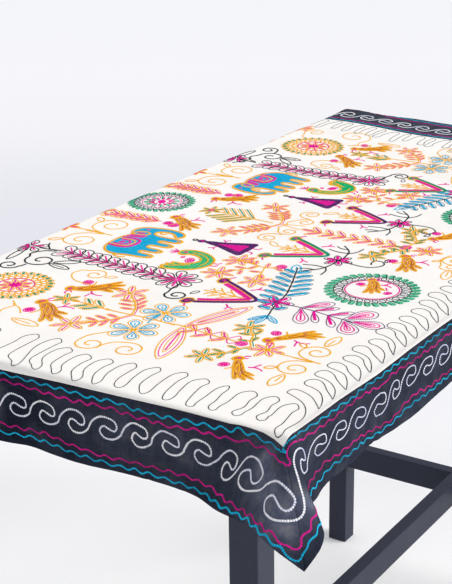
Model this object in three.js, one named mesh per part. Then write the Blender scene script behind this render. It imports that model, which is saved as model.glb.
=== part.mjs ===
// Embroidered tapestry cloth draped on a plain square-tube table.
//
// Millimetres, +Z up. +X runs along the table from its near end to its far end,
// +Y runs from its right side to its left side. The origin is the middle of the
// whole object's bounding box, on the floor.
//
// The cloth is one off-white panel with four dark border strips sewn round it and
// mitred at the corners. Every cloth piece is cut from flat coordinates: p is the
// distance from the table's near end and q the distance from its right side, both
// measured along the cloth, and drape() carries a flat point to its hung place.
import * as THREE from 'three';
import { mergeVertices } from 'three/addons/utils/BufferGeometryUtils.js';

// ---------------------------------------------------------------- dimensions
const TABLE = { length: 1378, width: 680, height: 900, board: 18, eased: 6 };
const LEG = { side: 40, round: 2.5, nearInset: 23, farInset: 120, sideInset: 60 };
const BAR = { height: 50, depth: 25, aboveFloor: 180, round: 2, longAt: 330 };
const RAIL = { height: 40, depth: 25, round: 2 };
const GAP = 0.3;

const CLOTH = {
  thick: 1.2,          // sheet with its backing of stitches
  lift: 0.3,           // lower face above the board
  clear: 3.2,          // middle of the hanging sheet from the board's edge
  soften: 9,           // radius over which a fold is rounded
  seamGap: 0.4,
};
// Flat distance of the seam and of the hem beyond each edge of the board.
// The far border lies on top of the board, so its seam is a negative distance.
const BORDER = {
  near: { seam: 13, width: 97 },
  right: { seam: 3, width: 92 },
  far: { seam: -86, width: 104 },
  left: { seam: 137, width: 90 },
};

// The sheet round each corner of the table. A row is one straight line of cloth
// running out from the corner: `turn` is its angle in the flat cloth, measured
// from the end edge round to the side edge; `lean` is how far it stands from
// straight down and `heading` which way it leans (0 out of the end, 90 out of
// the side).
const FOLD = {
  near_right: {
    stand: 6.5, stretch: 0.045,
    rows: [
      { turn: 0, lean: 90, heading: -90 }, { turn: 12, lean: 78, heading: -90 },
      { turn: 24, lean: 66, heading: -90 }, { turn: 40, lean: 51.5, heading: -86 },
      { turn: 56, lean: 41.5, heading: -66 }, { turn: 72, lean: 35.5, heading: -43 },
      { turn: 88, lean: 36, heading: -19 }, { turn: 104, lean: 40, heading: 1 },
      { turn: 118, lean: 43.5, heading: 18 }, { turn: 130, lean: 43.5, heading: 36 },
      { turn: 141, lean: 42.5, heading: 52 }, { turn: 152, lean: 36, heading: 66 },
      { turn: 163, lean: 26.5, heading: 75 }, { turn: 174, lean: 15.5, heading: 82 },
      { turn: 186, lean: 11.5, heading: 130 }, { turn: 200, lean: 22, heading: 163 },
      { turn: 215, lean: 35.5, heading: 177 }, { turn: 230, lean: 50, heading: 180 },
      { turn: 246, lean: 66, heading: 180 }, { turn: 258, lean: 78, heading: 180 },
      { turn: 270, lean: 90, heading: 180 },
    ],
  },
  near_left: {
    stand: 3, stretch: 0.02,
    rows: [
      { turn: 0, lean: 90, heading: -90 }, { turn: 12, lean: 78, heading: -90 },
      { turn: 24, lean: 66, heading: -90 }, { turn: 40, lean: 50, heading: -90 },
      { turn: 56, lean: 34.5, heading: -88 }, { turn: 72, lean: 20, heading: -74 },
      { turn: 88, lean: 15, heading: -20 }, { turn: 104, lean: 25, heading: 8 },
      { turn: 118, lean: 35, heading: 21 }, { turn: 130, lean: 40, heading: 35 },
      { turn: 141, lean: 40, heading: 50 }, { turn: 152, lean: 35, heading: 62 },
      { turn: 163, lean: 27, heading: 71 }, { turn: 174, lean: 18, heading: 82 },
      { turn: 186, lean: 13, heading: 121 }, { turn: 200, lean: 21, heading: 161 },
      { turn: 215, lean: 35, heading: 174 }, { turn: 230, lean: 50, heading: 178 },
      { turn: 246, lean: 66, heading: 180 }, { turn: 258, lean: 78, heading: 180 },
      { turn: 270, lean: 90, heading: 180 },
    ],
  },
  far_right: {
    stand: 2, stretch: 0.02,
    rows: [
      { turn: 0, lean: 90, heading: -90 }, { turn: 12, lean: 78, heading: -90 },
      { turn: 24, lean: 66, heading: -90 }, { turn: 40, lean: 50, heading: -90 },
      { turn: 56, lean: 34.5, heading: -90 }, { turn: 72, lean: 19, heading: -80 },
      { turn: 88, lean: 12, heading: -23 }, { turn: 104, lean: 23, heading: 10 },
      { turn: 118, lean: 34, heading: 23 }, { turn: 130, lean: 40, heading: 38 },
      { turn: 141, lean: 40, heading: 53 }, { turn: 152, lean: 35, heading: 66 },
      { turn: 163, lean: 26, heading: 76 }, { turn: 174, lean: 16, heading: 85 },
      { turn: 186, lean: 11, heading: 132 }, { turn: 200, lean: 20, heading: 172 },
      { turn: 215, lean: 35, heading: 179 }, { turn: 230, lean: 50, heading: 180 },
      { turn: 246, lean: 66, heading: 180 }, { turn: 258, lean: 78, heading: 180 },
      { turn: 270, lean: 90, heading: 180 },
    ],
  },
  far_left: {
    stand: 2, stretch: 0.02,
    rows: [
      { turn: 0, lean: 90, heading: -90 }, { turn: 12, lean: 78, heading: -90 },
      { turn: 24, lean: 66, heading: -90 }, { turn: 40, lean: 50, heading: -90 },
      { turn: 56, lean: 34.5, heading: -89 }, { turn: 72, lean: 19.5, heading: -76 },
      { turn: 88, lean: 15, heading: -23 }, { turn: 104, lean: 27, heading: 2 },
      { turn: 118, lean: 36, heading: 19 }, { turn: 130, lean: 40, heading: 35 },
      { turn: 141, lean: 39, heading: 50 }, { turn: 152, lean: 33, heading: 63 },
      { turn: 163, lean: 24, heading: 75 }, { turn: 174, lean: 15, heading: 88 },
      { turn: 186, lean: 10, heading: 139 }, { turn: 200, lean: 20, heading: 178 },
      { turn: 215, lean: 35, heading: 180 }, { turn: 230, lean: 50, heading: 180 },
      { turn: 246, lean: 66, heading: 180 }, { turn: 258, lean: 78, heading: 180 },
      { turn: 270, lean: 90, heading: 180 },
    ],
  },
};

// Soft waves of the hanging sides: `at` along the edge, half `width`, and how
// far `out` the hem swings there.
const WAVE = {
  near: [
    { at: 300, width: 75, out: 5 }, { at: 430, width: 62, out: 5 },
    { at: 372, width: 40, out: -2 },
  ],
  right: [
    { at: 190, width: 60, out: -6 }, { at: 300, width: 80, out: 4 },
    { at: 470, width: 95, out: -3 }, { at: 640, width: 100, out: 5 },
    { at: 860, width: 110, out: -4 }, { at: 1060, width: 110, out: 6 },
  ],
  left: [
    { at: 380, width: 110, out: 12 }, { at: 560, width: 100, out: -8 },
    { at: 740, width: 120, out: 13 }, { at: 930, width: 100, out: -7 },
    { at: 1080, width: 95, out: 9 },
  ],
};
// Where the far hem stands up a little instead of lying flat: `at` across the
// table, half `width`, height `up`.
const RISE = [
  { at: 400, width: 190, up: 1.6 }, { at: 655, width: 75, up: 4 },
];
// How far the cloth lies askew along the table.
const ASKEW = {
  far: { slip: -33, from: 640, to: 420 },   // towards the near end, by q
  near: { slip: 5, from: 400, to: 100 },
};

// ---------------------------------------------------------------- drape
const rad = (deg) => (deg * Math.PI) / 180;
const smooth = (t) => { const s = Math.min(1, Math.max(0, t)); return s * s * (3 - 2 * s); };

const lineOf = ({ lean, heading }) => new THREE.Vector3(
  Math.sin(rad(lean)) * Math.cos(rad(heading)),
  Math.sin(rad(lean)) * Math.sin(rad(heading)),
  Math.cos(rad(lean)),
);

for (const corner of Object.values(FOLD)) {
  const turns = corner.rows.map((r) => r.turn);
  const dirs = corner.rows.map(lineOf);
  const n = dirs.length;
  const slopes = dirs.map((_, i) => {
    const a = Math.max(0, i - 1);
    const b = Math.min(n - 1, i + 1);
    return dirs[b].clone().sub(dirs[a]).divideScalar(turns[b] - turns[a]);
  });
  corner.line = (turn) => {
    let i = 0;
    while (i < n - 2 && turn >= turns[i + 1]) i += 1;
    const h = turns[i + 1] - turns[i];
    const t = (turn - turns[i]) / h;
    const t2 = t * t;
    const t3 = t2 * t;
    return new THREE.Vector3()
      .addScaledVector(dirs[i], 2 * t3 - 3 * t2 + 1)
      .addScaledVector(slopes[i], (t3 - 2 * t2 + t) * h)
      .addScaledVector(dirs[i + 1], 3 * t2 - 2 * t3)
      .addScaledVector(slopes[i + 1], (t3 - t2) * h)
      .normalize();
  };
}

const seamAt = {
  near: -BORDER.near.seam, right: -BORDER.right.seam,
  far: TABLE.length + BORDER.far.seam, left: TABLE.width + BORDER.left.seam,
};
const hemAt = {
  near: seamAt.near - BORDER.near.width, right: seamAt.right - BORDER.right.width,
  far: seamAt.far + BORDER.far.width, left: seamAt.left + BORDER.left.width,
};
const MID = CLOTH.lift + CLOTH.thick / 2;

const farSlip = (q) => {
  const f = ASKEW.far;
  return f.slip * smooth((f.from - q) / (f.from - f.to));
};
function settle(p, q) {
  const n = ASKEW.near;
  const far = farSlip(q) * smooth((p - 500) / 750);
  const near = n.slip * smooth((n.from - q) / (n.from - n.to)) * (1 - smooth((p - 40) / 260));
  return p + far + near;
}

// The sheet with sharp folds, in table coordinates (z = 0 on the board).
function sharp(p, q) {
  const isFar = p > TABLE.length / 2;
  const isLeft = q > TABLE.width / 2;
  const a = (isFar ? p - TABLE.length : -p) - CLOTH.clear;
  const b = (isLeft ? q - TABLE.width : -q) - CLOTH.clear;
  if (a <= 0 && b <= 0) return [p, q, MID];
  const corner = FOLD[`${isFar ? 'far' : 'near'}_${isLeft ? 'left' : 'right'}`];
  const r = Math.hypot(a, b);
  let turn = (Math.atan2(a, -b) * 180) / Math.PI;
  if (turn < 0) turn += 360;
  const line = corner.line(turn);
  const s = r * (1 + corner.stretch * Math.sin(rad(Math.min(180, Math.max(0, ((turn - 80) / 110) * 180)))));
  const stand = corner.stand * smooth((turn - 24) / 36) * smooth((200 - turn) / 40) * Math.min(1, r / 25);
  const outEnd = CLOTH.clear + stand + s * line.x;
  const outSide = CLOTH.clear + s * line.y;
  return [
    isFar ? TABLE.length + outEnd : -outEnd,
    isLeft ? TABLE.width + outSide : -outSide,
    MID - s * line.z,
  ];
}

const RING = [];
for (const [radius, count, weight] of [[0, 1, 1], [0.38, 6, 5], [0.7, 10, 8], [1, 14, 7]]) {
  for (let i = 0; i < count; i += 1) {
    const t = ((i + 0.5) / count) * Math.PI * 2;
    RING.push([radius * Math.cos(t), radius * Math.sin(t), weight / count]);
  }
}
const RING_SUM = RING.reduce((s, k) => s + k[2], 0);

const swell = (rows, at) => rows.reduce((sum, w) => {
  const t = (at - w.at) / w.width;
  return Math.abs(t) < 1 ? sum + (w.out ?? w.up) * Math.cos((t * Math.PI) / 2) ** 2 : sum;
}, 0);

function drape(p0, q) {
  const p = settle(p0, q);
  const out = new THREE.Vector3();
  for (const [dp, dq, w] of RING) {
    const [x, y, z] = sharp(p + dp * CLOTH.soften, q + dq * CLOTH.soften);
    out.x += x * w; out.y += y * w; out.z += z * w;
  }
  out.divideScalar(RING_SUM);
  const deep = (d, full) => Math.max(0, d / full) ** 1.4;
  out.x -= swell(WAVE.near, q) * deep(-p - CLOTH.clear, 107);
  out.y -= swell(WAVE.right, p) * deep(-q - CLOTH.clear, 92);
  out.y += swell(WAVE.left, p) * deep(q - TABLE.width - CLOTH.clear, 224);
  out.z += swell(RISE, q) * smooth((p0 - seamAt.far - 25) / (BORDER.far.width - 35));
  return out;
}

function faceAt(p, q) {
  const e = 0.8;
  const dp = drape(p + e, q).sub(drape(p - e, q));
  const dq = drape(p, q + e).sub(drape(p, q - e));
  return dp.cross(dq).normalize();
}

// ---------------------------------------------------------------- cloth solids
// A closed sheet over a grid of flat points flat[i][j] = [p, q].
function sheet(flat) {
  const ni = flat.length;
  const nj = flat[0].length;
  const pos = [];
  for (const side of [1, -1]) {
    for (const row of flat) {
      for (const [p, q] of row) {
        const m = drape(p, q).addScaledVector(faceAt(p, q), (side * CLOTH.thick) / 2);
        pos.push(m.x, m.y, m.z);
      }
    }
  }
  const id = (s, i, j) => s * ni * nj + i * nj + j;
  const tri = [];
  const quad = (a, b, c, d) => tri.push(a, b, c, a, c, d);
  for (let i = 0; i < ni - 1; i += 1) {
    for (let j = 0; j < nj - 1; j += 1) {
      const up = [id(0, i, j), id(0, i + 1, j), id(0, i + 1, j + 1), id(0, i, j + 1)];
      const dn = [id(1, i, j), id(1, i + 1, j), id(1, i + 1, j + 1), id(1, i, j + 1)];
      quad(...up);
      tri.push(dn[0], dn[2], dn[1], dn[0], dn[3], dn[2]);
    }
  }
  for (let i = 0; i < ni - 1; i += 1) {
    quad(id(0, i, 0), id(1, i, 0), id(1, i + 1, 0), id(0, i + 1, 0));
    quad(id(0, i + 1, nj - 1), id(1, i + 1, nj - 1), id(1, i, nj - 1), id(0, i, nj - 1));
  }
  for (let j = 0; j < nj - 1; j += 1) {
    quad(id(0, 0, j + 1), id(1, 0, j + 1), id(1, 0, j), id(0, 0, j));
    quad(id(0, ni - 1, j), id(1, ni - 1, j), id(1, ni - 1, j + 1), id(0, ni - 1, j + 1));
  }
  let volume = 0;
  const v = (k) => new THREE.Vector3(pos[3 * k], pos[3 * k + 1], pos[3 * k + 2]);
  for (let k = 0; k < tri.length; k += 3) {
    volume += v(tri[k]).dot(v(tri[k + 1]).cross(v(tri[k + 2])));
  }
  if (volume < 0) {
    for (let k = 0; k < tri.length; k += 3) [tri[k + 1], tri[k + 2]] = [tri[k + 2], tri[k + 1]];
  }
  const g = new THREE.BufferGeometry();
  g.setAttribute('position', new THREE.Float32BufferAttribute(pos, 3));
  g.setIndex(tri);
  g.computeVertexNormals();
  return g;
}

const H = CLOTH.seamGap / 2;

// Lines along and across the cloth, from one seam to the other, closer where it
// turns over an edge. The panel and the strips share them, so their seams match.
const W = TABLE.width;
const L = TABLE.length;
const alongP = [
  seamAt.near, -9, -5.5, -2, 1.5, 6.5, 20, 36, 56, 80, 110, 150, 190, 240, 300, 360, 430, 500,
  570, 640, 740, 840, 930, 1010, 1080, 1130, 1180, 1220, 1258, seamAt.far,
];
const alongQ = [
  seamAt.right, -0.5, 2.5, 7, 20, 36, 56, 80, 108, 140, 180, 230, 300, 372, 420, 455, 490, 525, 560, 600,
  645, W - 6.5, W - 1.5, W + 2, W + 5.5, W + 10, W + 22, W + 45, W + 75, W + 107, seamAt.left,
];
const inset = (list) => list.map((v, i) => (i === 0 ? v + H : i === list.length - 1 ? v - H : v));
const fieldGrid = inset(alongP).map((p) => inset(alongQ).map((q) => [p, q]));

// A border strip between two mitres: `across` are fractions of its width and
// `along` the flat places along its seam. Near an end the lines fan with the mitre.
function strip(side, along, across, ends) {
  const outward = side === 'near' || side === 'right' ? -1 : 1;
  const isEnd = side === 'near' || side === 'far';
  const [lo, hi] = ends;
  const seamLo = seamAt[lo];
  const seamHi = seamAt[hi];
  const reach = 170;
  return along.map((s) => across.map((w) => {
    const d = seamAt[side] + outward * (H + w * (BORDER[side].width - H));
    const f = (H + w * (BORDER[side].width - H)) / BORDER[side].width;
    const mitre = H * 1.5;
    const shiftLo = -f * BORDER[lo].width + mitre;
    const shiftHi = f * BORDER[hi].width - mitre;
    const kLo = Math.max(0, 1 - (s - seamLo) / reach);
    const kHi = Math.max(0, 1 - (seamHi - s) / reach);
    const at = s + shiftLo * kLo ** 1.3 + shiftHi * kHi ** 1.3;
    return isEnd ? [d, at] : [at, d];
  }));
}
const across = [0, 0.04, 0.08, 0.14, 0.3, 0.5, 0.75, 1];
const nearGrid = strip('near', alongQ, across, ['right', 'left']);
const rightGrid = strip('right', alongP, across, ['near', 'far']);

// The far strip lies on the board and turns down over three edges, so its lines
// keep to those edges and only its two end triangles fan out with the mitres.
const farGrid = (() => {
  const { width } = BORDER.far;
  const base = seamAt.right + 1;
  const kept = [-5.5, -9.5, -15, -35, -60, -Infinity];
  const fanRight = kept.map((q, i) => (w) => Math.max(
    q, base - ((0.7 + BORDER.right.width * w) * (i + 1)) / kept.length)).reverse();
  const fanLeft = [0.33, 0.66, 1].map((k) => (w) => W + 107 + (29.7 + BORDER.left.width * w) * k);
  const straight = [base, ...alongQ.slice(1, -1)].map((q) => () => q);
  const turns = [-9.5, -6, -2.5, 1, 5, 9.5];
  return [...fanRight, ...straight, ...fanLeft].map((qOf) => {
    const edge = L + CLOTH.clear - farSlip(qOf(0.7));
    const ps = [0, 0.04, 0.08, 0.14, 0.3, 0.5].map((w) => seamAt.far + H + w * (width - H));
    ps.push((ps[5] + Math.min(edge + turns[0], hemAt.far - turns.length * 0.8)) / 2);
    turns.forEach((t, i) => ps.push(Math.min(edge + t, hemAt.far - (turns.length - i) * 0.8)));
    ps.push(hemAt.far);
    return ps.map((p) => [p, qOf((p - seamAt.far) / width)]);
  });
})();
const leftGrid = strip('left', alongP, across, ['near', 'far']);

// ---------------------------------------------------------------- table solids
function roundedRect(w, h, r) {
  const s = new THREE.Shape();
  s.moveTo(-w / 2 + r, -h / 2);
  s.lineTo(w / 2 - r, -h / 2);
  s.absarc(w / 2 - r, -h / 2 + r, r, -Math.PI / 2, 0, false);
  s.lineTo(w / 2, h / 2 - r);
  s.absarc(w / 2 - r, h / 2 - r, r, 0, Math.PI / 2, false);
  s.lineTo(-w / 2 + r, h / 2);
  s.absarc(-w / 2 + r, h / 2 - r, r, Math.PI / 2, Math.PI, false);
  s.lineTo(-w / 2, -h / 2 + r);
  s.absarc(-w / 2 + r, -h / 2 + r, r, Math.PI, Math.PI * 1.5, false);
  return s;
}
// A tube with rounded long edges, from its low corner to its high corner.
function tube(lo, hi, axis, round) {
  const size = hi.map((h, i) => h - lo[i]);
  const mid = hi.map((h, i) => (h + lo[i]) / 2);
  const [w, h] = { x: [size[1], size[2]], y: [size[0], size[2]], z: [size[0], size[1]] }[axis];
  const depth = size['xyz'.indexOf(axis)];
  const g = new THREE.ExtrudeGeometry(roundedRect(w, h, round), { depth, bevelEnabled: false, curveSegments: 3 });
  g.translate(0, 0, -depth / 2);
  if (axis === 'x') { g.rotateX(Math.PI / 2); g.rotateZ(Math.PI / 2); }
  if (axis === 'y') g.rotateX(Math.PI / 2);
  g.translate(...mid);
  return g;
}
function boardSolid() {
  const e = TABLE.eased;
  const g = new THREE.ExtrudeGeometry(roundedRect(L - 2 * e, W - 2 * e, 4), {
    depth: TABLE.board - 2 * e, bevelEnabled: true, bevelThickness: e, bevelSize: e,
    bevelSegments: 3, curveSegments: 3,
  });
  g.translate(L / 2, W / 2, -TABLE.board + e);
  return g;
}

const floorZ = -TABLE.height;
const legTop = -TABLE.board - GAP;
const legX = { near: LEG.nearInset, far: L - LEG.farInset - LEG.side };
const legY = { right: LEG.sideInset, left: W - LEG.sideInset - LEG.side };
const barLo = floorZ + BAR.aboveFloor;
const barHi = barLo + BAR.height;
const railHi = legTop;
const railLo = railHi - RAIL.height;

// ---------------------------------------------------------------- materials
const cream = new THREE.MeshStandardMaterial({ color: 0xefece6, roughness: 0.9, metalness: 0 });
const charcoal = new THREE.MeshStandardMaterial({ color: 0x25272f, roughness: 0.85, metalness: 0 });
const paint = new THREE.MeshStandardMaterial({ color: 0x33353f, roughness: 0.45, metalness: 0.3 });

const model = new THREE.Group();
function add(name, geometry, material) {
  let g = geometry.index ? geometry : geometry.clone();
  g.deleteAttribute('normal');
  g.deleteAttribute('uv');
  g = mergeVertices(g, 1e-3);
  g.computeVertexNormals();
  const mesh = new THREE.Mesh(g, material);
  mesh.name = name;
  model.add(mesh);
}

add('field', sheet(fieldGrid), cream);
add('border_near', sheet(nearGrid), charcoal);
add('border_right', sheet(rightGrid), charcoal);
add('border_far', sheet(farGrid), charcoal);
add('border_left', sheet(leftGrid), charcoal);

add('tabletop', boardSolid(), paint);
for (const [endName, x] of Object.entries(legX)) {
  for (const [sideName, y] of Object.entries(legY)) {
    add(`leg_${endName}_${sideName}`,
      tube([x, y, floorZ], [x + LEG.side, y + LEG.side, legTop], 'z', LEG.round), paint);
  }
}
const innerY = [legY.right + LEG.side + GAP, legY.left - GAP];
const innerX = [legX.near + LEG.side + GAP, legX.far - GAP];
for (const [endName, x] of Object.entries(legX)) {
  add(`bar_${endName}`, tube([x, innerY[0], barLo], [x + BAR.depth, innerY[1], barHi], 'y', BAR.round), paint);
  add(`rail_${endName}`, tube([x, innerY[0], railLo], [x + RAIL.depth, innerY[1], railHi], 'y', RAIL.round), paint);
}
add('bar_long', tube(
  [legX.near + BAR.depth + GAP, BAR.longAt - BAR.depth / 2, barLo],
  [legX.far - GAP, BAR.longAt + BAR.depth / 2, barHi], 'x', BAR.round), paint);
add('rail_right', tube([innerX[0], legY.right, railLo], [innerX[1], legY.right + RAIL.depth, railHi], 'x', RAIL.round), paint);
add('rail_left', tube([innerX[0], legY.left + LEG.side - RAIL.depth, railLo],
  [innerX[1], legY.left + LEG.side, railHi], 'x', RAIL.round), paint);

// Origin: middle of the whole bounding box, on the floor.
const box = new THREE.Box3().setFromObject(model);
model.position.set(-(box.min.x + box.max.x) / 2, -(box.min.y + box.max.y) / 2, TABLE.height);
model.updateMatrixWorld(true);

export default model;
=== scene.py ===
"""Embroidered tapestry cloth draped on a square-tube table: the looks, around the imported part."""
import math

import bpy
import numpy as np
from mathutils import Matrix, Vector

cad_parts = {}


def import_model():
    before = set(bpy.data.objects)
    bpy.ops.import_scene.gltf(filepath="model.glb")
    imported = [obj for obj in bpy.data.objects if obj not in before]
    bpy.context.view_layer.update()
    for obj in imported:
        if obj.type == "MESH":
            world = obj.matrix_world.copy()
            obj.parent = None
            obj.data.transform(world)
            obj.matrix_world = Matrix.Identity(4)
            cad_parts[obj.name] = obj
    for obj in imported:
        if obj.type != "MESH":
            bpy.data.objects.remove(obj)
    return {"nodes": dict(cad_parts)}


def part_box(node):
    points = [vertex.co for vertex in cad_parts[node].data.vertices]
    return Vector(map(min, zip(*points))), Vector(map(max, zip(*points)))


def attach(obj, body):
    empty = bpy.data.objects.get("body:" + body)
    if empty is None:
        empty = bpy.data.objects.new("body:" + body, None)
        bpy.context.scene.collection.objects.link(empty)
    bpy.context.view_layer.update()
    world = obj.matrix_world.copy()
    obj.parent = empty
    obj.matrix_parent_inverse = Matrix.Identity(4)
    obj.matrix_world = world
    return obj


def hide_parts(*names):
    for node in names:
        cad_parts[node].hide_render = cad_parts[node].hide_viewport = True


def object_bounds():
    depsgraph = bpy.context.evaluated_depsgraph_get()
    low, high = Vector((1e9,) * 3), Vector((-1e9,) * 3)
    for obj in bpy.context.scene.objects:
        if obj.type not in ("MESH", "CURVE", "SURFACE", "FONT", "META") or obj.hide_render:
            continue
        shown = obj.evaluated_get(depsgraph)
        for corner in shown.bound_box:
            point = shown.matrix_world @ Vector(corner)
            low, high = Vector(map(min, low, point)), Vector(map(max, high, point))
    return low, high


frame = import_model()
CAD_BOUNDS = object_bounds()
RNG = np.random.default_rng(20)

# The table's near right top corner, in the row frame, metres. Below, flat and
# hung places are in millimetres from it: p along, q across, z up.
_lo, _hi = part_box("tabletop")
ORIGIN = np.array([_lo[0], _lo[1], _hi[2]])
MM = 0.001


def world(points_mm):
    return ORIGIN + np.asarray(points_mm) * MM


# ------------------------------------------------------------------ camera
def look(place_mm, yaw, pitch, roll, lens):
    fw = Vector((math.cos(yaw) * math.cos(pitch), math.sin(yaw) * math.cos(pitch), -math.sin(pitch)))
    rt = fw.cross(Vector((0, 0, 1))).normalized()
    up = rt.cross(fw)
    r = math.cos(roll) * rt + math.sin(roll) * up
    u = -math.sin(roll) * rt + math.cos(roll) * up
    cam = bpy.data.objects.new("camera", bpy.data.cameras.new("camera"))
    bpy.context.collection.objects.link(cam)
    m = Matrix((r, u, -fw)).transposed().to_4x4()
    m.translation = Vector(world(place_mm))
    cam.matrix_world = m
    cam.data.lens = lens
    cam.data.sensor_width = 36
    cam.data.clip_start, cam.data.clip_end = 0.05, 100
    bpy.context.scene.camera = cam
    return cam


look((-1251.0, -730.4, 701.4), 0.5763, 0.3528, -0.0155, 90.95)

# ------------------------------------------------------------------ drape
TL, TW = 1378.0, 680.0
LIFT, THICK, CLEAR, SOFT = 0.3, 1.2, 3.2, 9.0
MID = LIFT + THICK / 2
SEAM = {"near": -13.0, "right": -3.0, "far": TL - 86, "left": TW + 137}
WIDE = {"near": 97.0, "right": 92.0, "far": 104.0, "left": 90.0}
HEM = {"near": -110.0, "right": -95.0, "far": TL + 18, "left": TW + 227}
RISE = [(400, 190, 1.6), (655, 75, 4)]
# turn, lean, heading of the lines of cloth round each corner of the table
FOLD = {
    "near_right": (6.5, .045, [
        (0, 90, -90), (12, 78, -90), (24, 66, -90), (40, 51.5, -86), (56, 41.5, -66), (72, 35.5, -43),
        (88, 36, -19), (104, 40, 1), (118, 43.5, 18), (130, 43.5, 36), (141, 42.5, 52), (152, 36, 66),
        (163, 26.5, 75), (174, 15.5, 82), (186, 11.5, 130), (200, 22, 163), (215, 35.5, 177),
        (230, 50, 180), (246, 66, 180), (258, 78, 180), (270, 90, 180)]),
    "near_left": (3, .02, [
        (0, 90, -90), (12, 78, -90), (24, 66, -90), (40, 50, -90), (56, 34.5, -88), (72, 20, -74),
        (88, 15, -20), (104, 25, 8), (118, 35, 21), (130, 40, 35), (141, 40, 50), (152, 35, 62),
        (163, 27, 71), (174, 18, 82), (186, 13, 121), (200, 21, 161), (215, 35, 174), (230, 50, 178),
        (246, 66, 180), (258, 78, 180), (270, 90, 180)]),
    "far_right": (2, .02, [
        (0, 90, -90), (12, 78, -90), (24, 66, -90), (40, 50, -90), (56, 34.5, -90), (72, 19, -80),
        (88, 12, -23), (104, 23, 10), (118, 34, 23), (130, 40, 38), (141, 40, 53), (152, 35, 66),
        (163, 26, 76), (174, 16, 85), (186, 11, 132), (200, 20, 172), (215, 35, 179), (230, 50, 180),
        (246, 66, 180), (258, 78, 180), (270, 90, 180)]),
    "far_left": (2, .02, [
        (0, 90, -90), (12, 78, -90), (24, 66, -90), (40, 50, -90), (56, 34.5, -89), (72, 19.5, -76),
        (88, 15, -23), (104, 27, 2), (118, 36, 19), (130, 40, 35), (141, 39, 50), (152, 33, 63),
        (163, 24, 75), (174, 15, 88), (186, 10, 139), (200, 20, 178), (215, 35, 180), (230, 50, 180),
        (246, 66, 180), (258, 78, 180), (270, 90, 180)]),
}
WAVE = {
    "near": [(300, 75, 5), (430, 62, 5), (372, 40, -2)],
    "right": [(190, 60, -6), (300, 80, 4), (470, 95, -3), (640, 100, 5), (860, 110, -4), (1060, 110, 6)],
    "left": [(380, 110, 12), (560, 100, -8), (740, 120, 13), (930, 100, -7), (1080, 95, 9)],
}
ASK_FAR = (-33, 640, 420)
ASK_NEAR = (5, 400, 100)


def smooth(t):
    t = np.clip(t, 0, 1)
    return t * t * (3 - 2 * t)


_lines = {}
for _k, (_st, _el, _rows) in FOLD.items():
    _r = np.array(_rows, float)
    _le, _he = np.radians(_r[:, 1]), np.radians(_r[:, 2])
    _v = np.stack([np.sin(_le) * np.cos(_he), np.sin(_le) * np.sin(_he), np.cos(_le)], 1)
    _m = np.empty_like(_v)
    _m[1:-1] = (_v[2:] - _v[:-2]) / (_r[2:, 0] - _r[:-2, 0])[:, None]
    _m[0] = (_v[1] - _v[0]) / (_r[1, 0] - _r[0, 0])
    _m[-1] = (_v[-1] - _v[-2]) / (_r[-1, 0] - _r[-2, 0])
    _lines[_k] = (_st, _el, _r[:, 0], _v, _m)


def fold_line(k, turn):
    _, _, K, V, M = _lines[k]
    i = np.clip(np.searchsorted(K, turn, side="right") - 1, 0, len(K) - 2)
    h = K[i + 1] - K[i]
    t = ((turn - K[i]) / h)[:, None]
    h = h[:, None]
    t2, t3 = t * t, t * t * t
    v = (2 * t3 - 3 * t2 + 1) * V[i] + (t3 - 2 * t2 + t) * h * M[i] + (3 * t2 - 2 * t3) * V[i + 1] + (t3 - t2) * h * M[i + 1]
    return v / np.linalg.norm(v, axis=1, keepdims=True)


def far_slip(q):
    return ASK_FAR[0] * smooth((ASK_FAR[1] - q) / (ASK_FAR[1] - ASK_FAR[2]))


def settle(p, q):
    near = ASK_NEAR[0] * smooth((ASK_NEAR[1] - q) / (ASK_NEAR[1] - ASK_NEAR[2])) * (1 - smooth((p - 40) / 260))
    return p + far_slip(q) * smooth((p - 500) / 750) + near


def sharp(p, q):
    out = np.stack([p, q, np.full_like(p, MID)], 1)
    fa, le = p > TL / 2, q > TW / 2
    a = np.where(fa, p - TL, -p) - CLEAR
    b = np.where(le, q - TW, -q) - CLEAR
    hang = (a > 0) | (b > 0)
    for k in FOLD:
        m = hang & (fa == (k[:3] == "far")) & (le == k.endswith("left"))
        if not m.any():
            continue
        st, el = _lines[k][:2]
        A, B = a[m], b[m]
        r = np.hypot(A, B)
        turn = np.degrees(np.arctan2(A, -B))
        turn = np.where(turn < 0, turn + 360, turn)
        ln = fold_line(k, turn)
        s = r * (1 + el * np.sin(np.radians(np.clip((turn - 80) / 110 * 180, 0, 180))))
        stand = st * smooth((turn - 24) / 36) * smooth((200 - turn) / 40) * np.minimum(1, r / 25)
        oe = CLEAR + stand + s * ln[:, 0]
        os_ = CLEAR + s * ln[:, 1]
        x = TL + oe if k[:3] == "far" else -oe
        y = TW + os_ if k.endswith("left") else -os_
        out[m] = np.stack([x, y, MID - s * ln[:, 2]], 1)
    return out


RING = []
for _rad, _cnt, _wt in ((0, 1, 1), (.38, 6, 5), (.7, 10, 8), (1, 14, 7)):
    for _i in range(_cnt):
        _t = (_i + .5) / _cnt * 2 * np.pi
        RING.append((_rad * np.cos(_t), _rad * np.sin(_t), _wt / _cnt))
RING_SUM = sum(k[2] for k in RING)


def swell(rows, at):
    s = np.zeros_like(at)
    for c, w, o in rows:
        t = (at - c) / w
        s += np.where(abs(t) < 1, o * np.cos(t * np.pi / 2) ** 2, 0)
    return s


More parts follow.
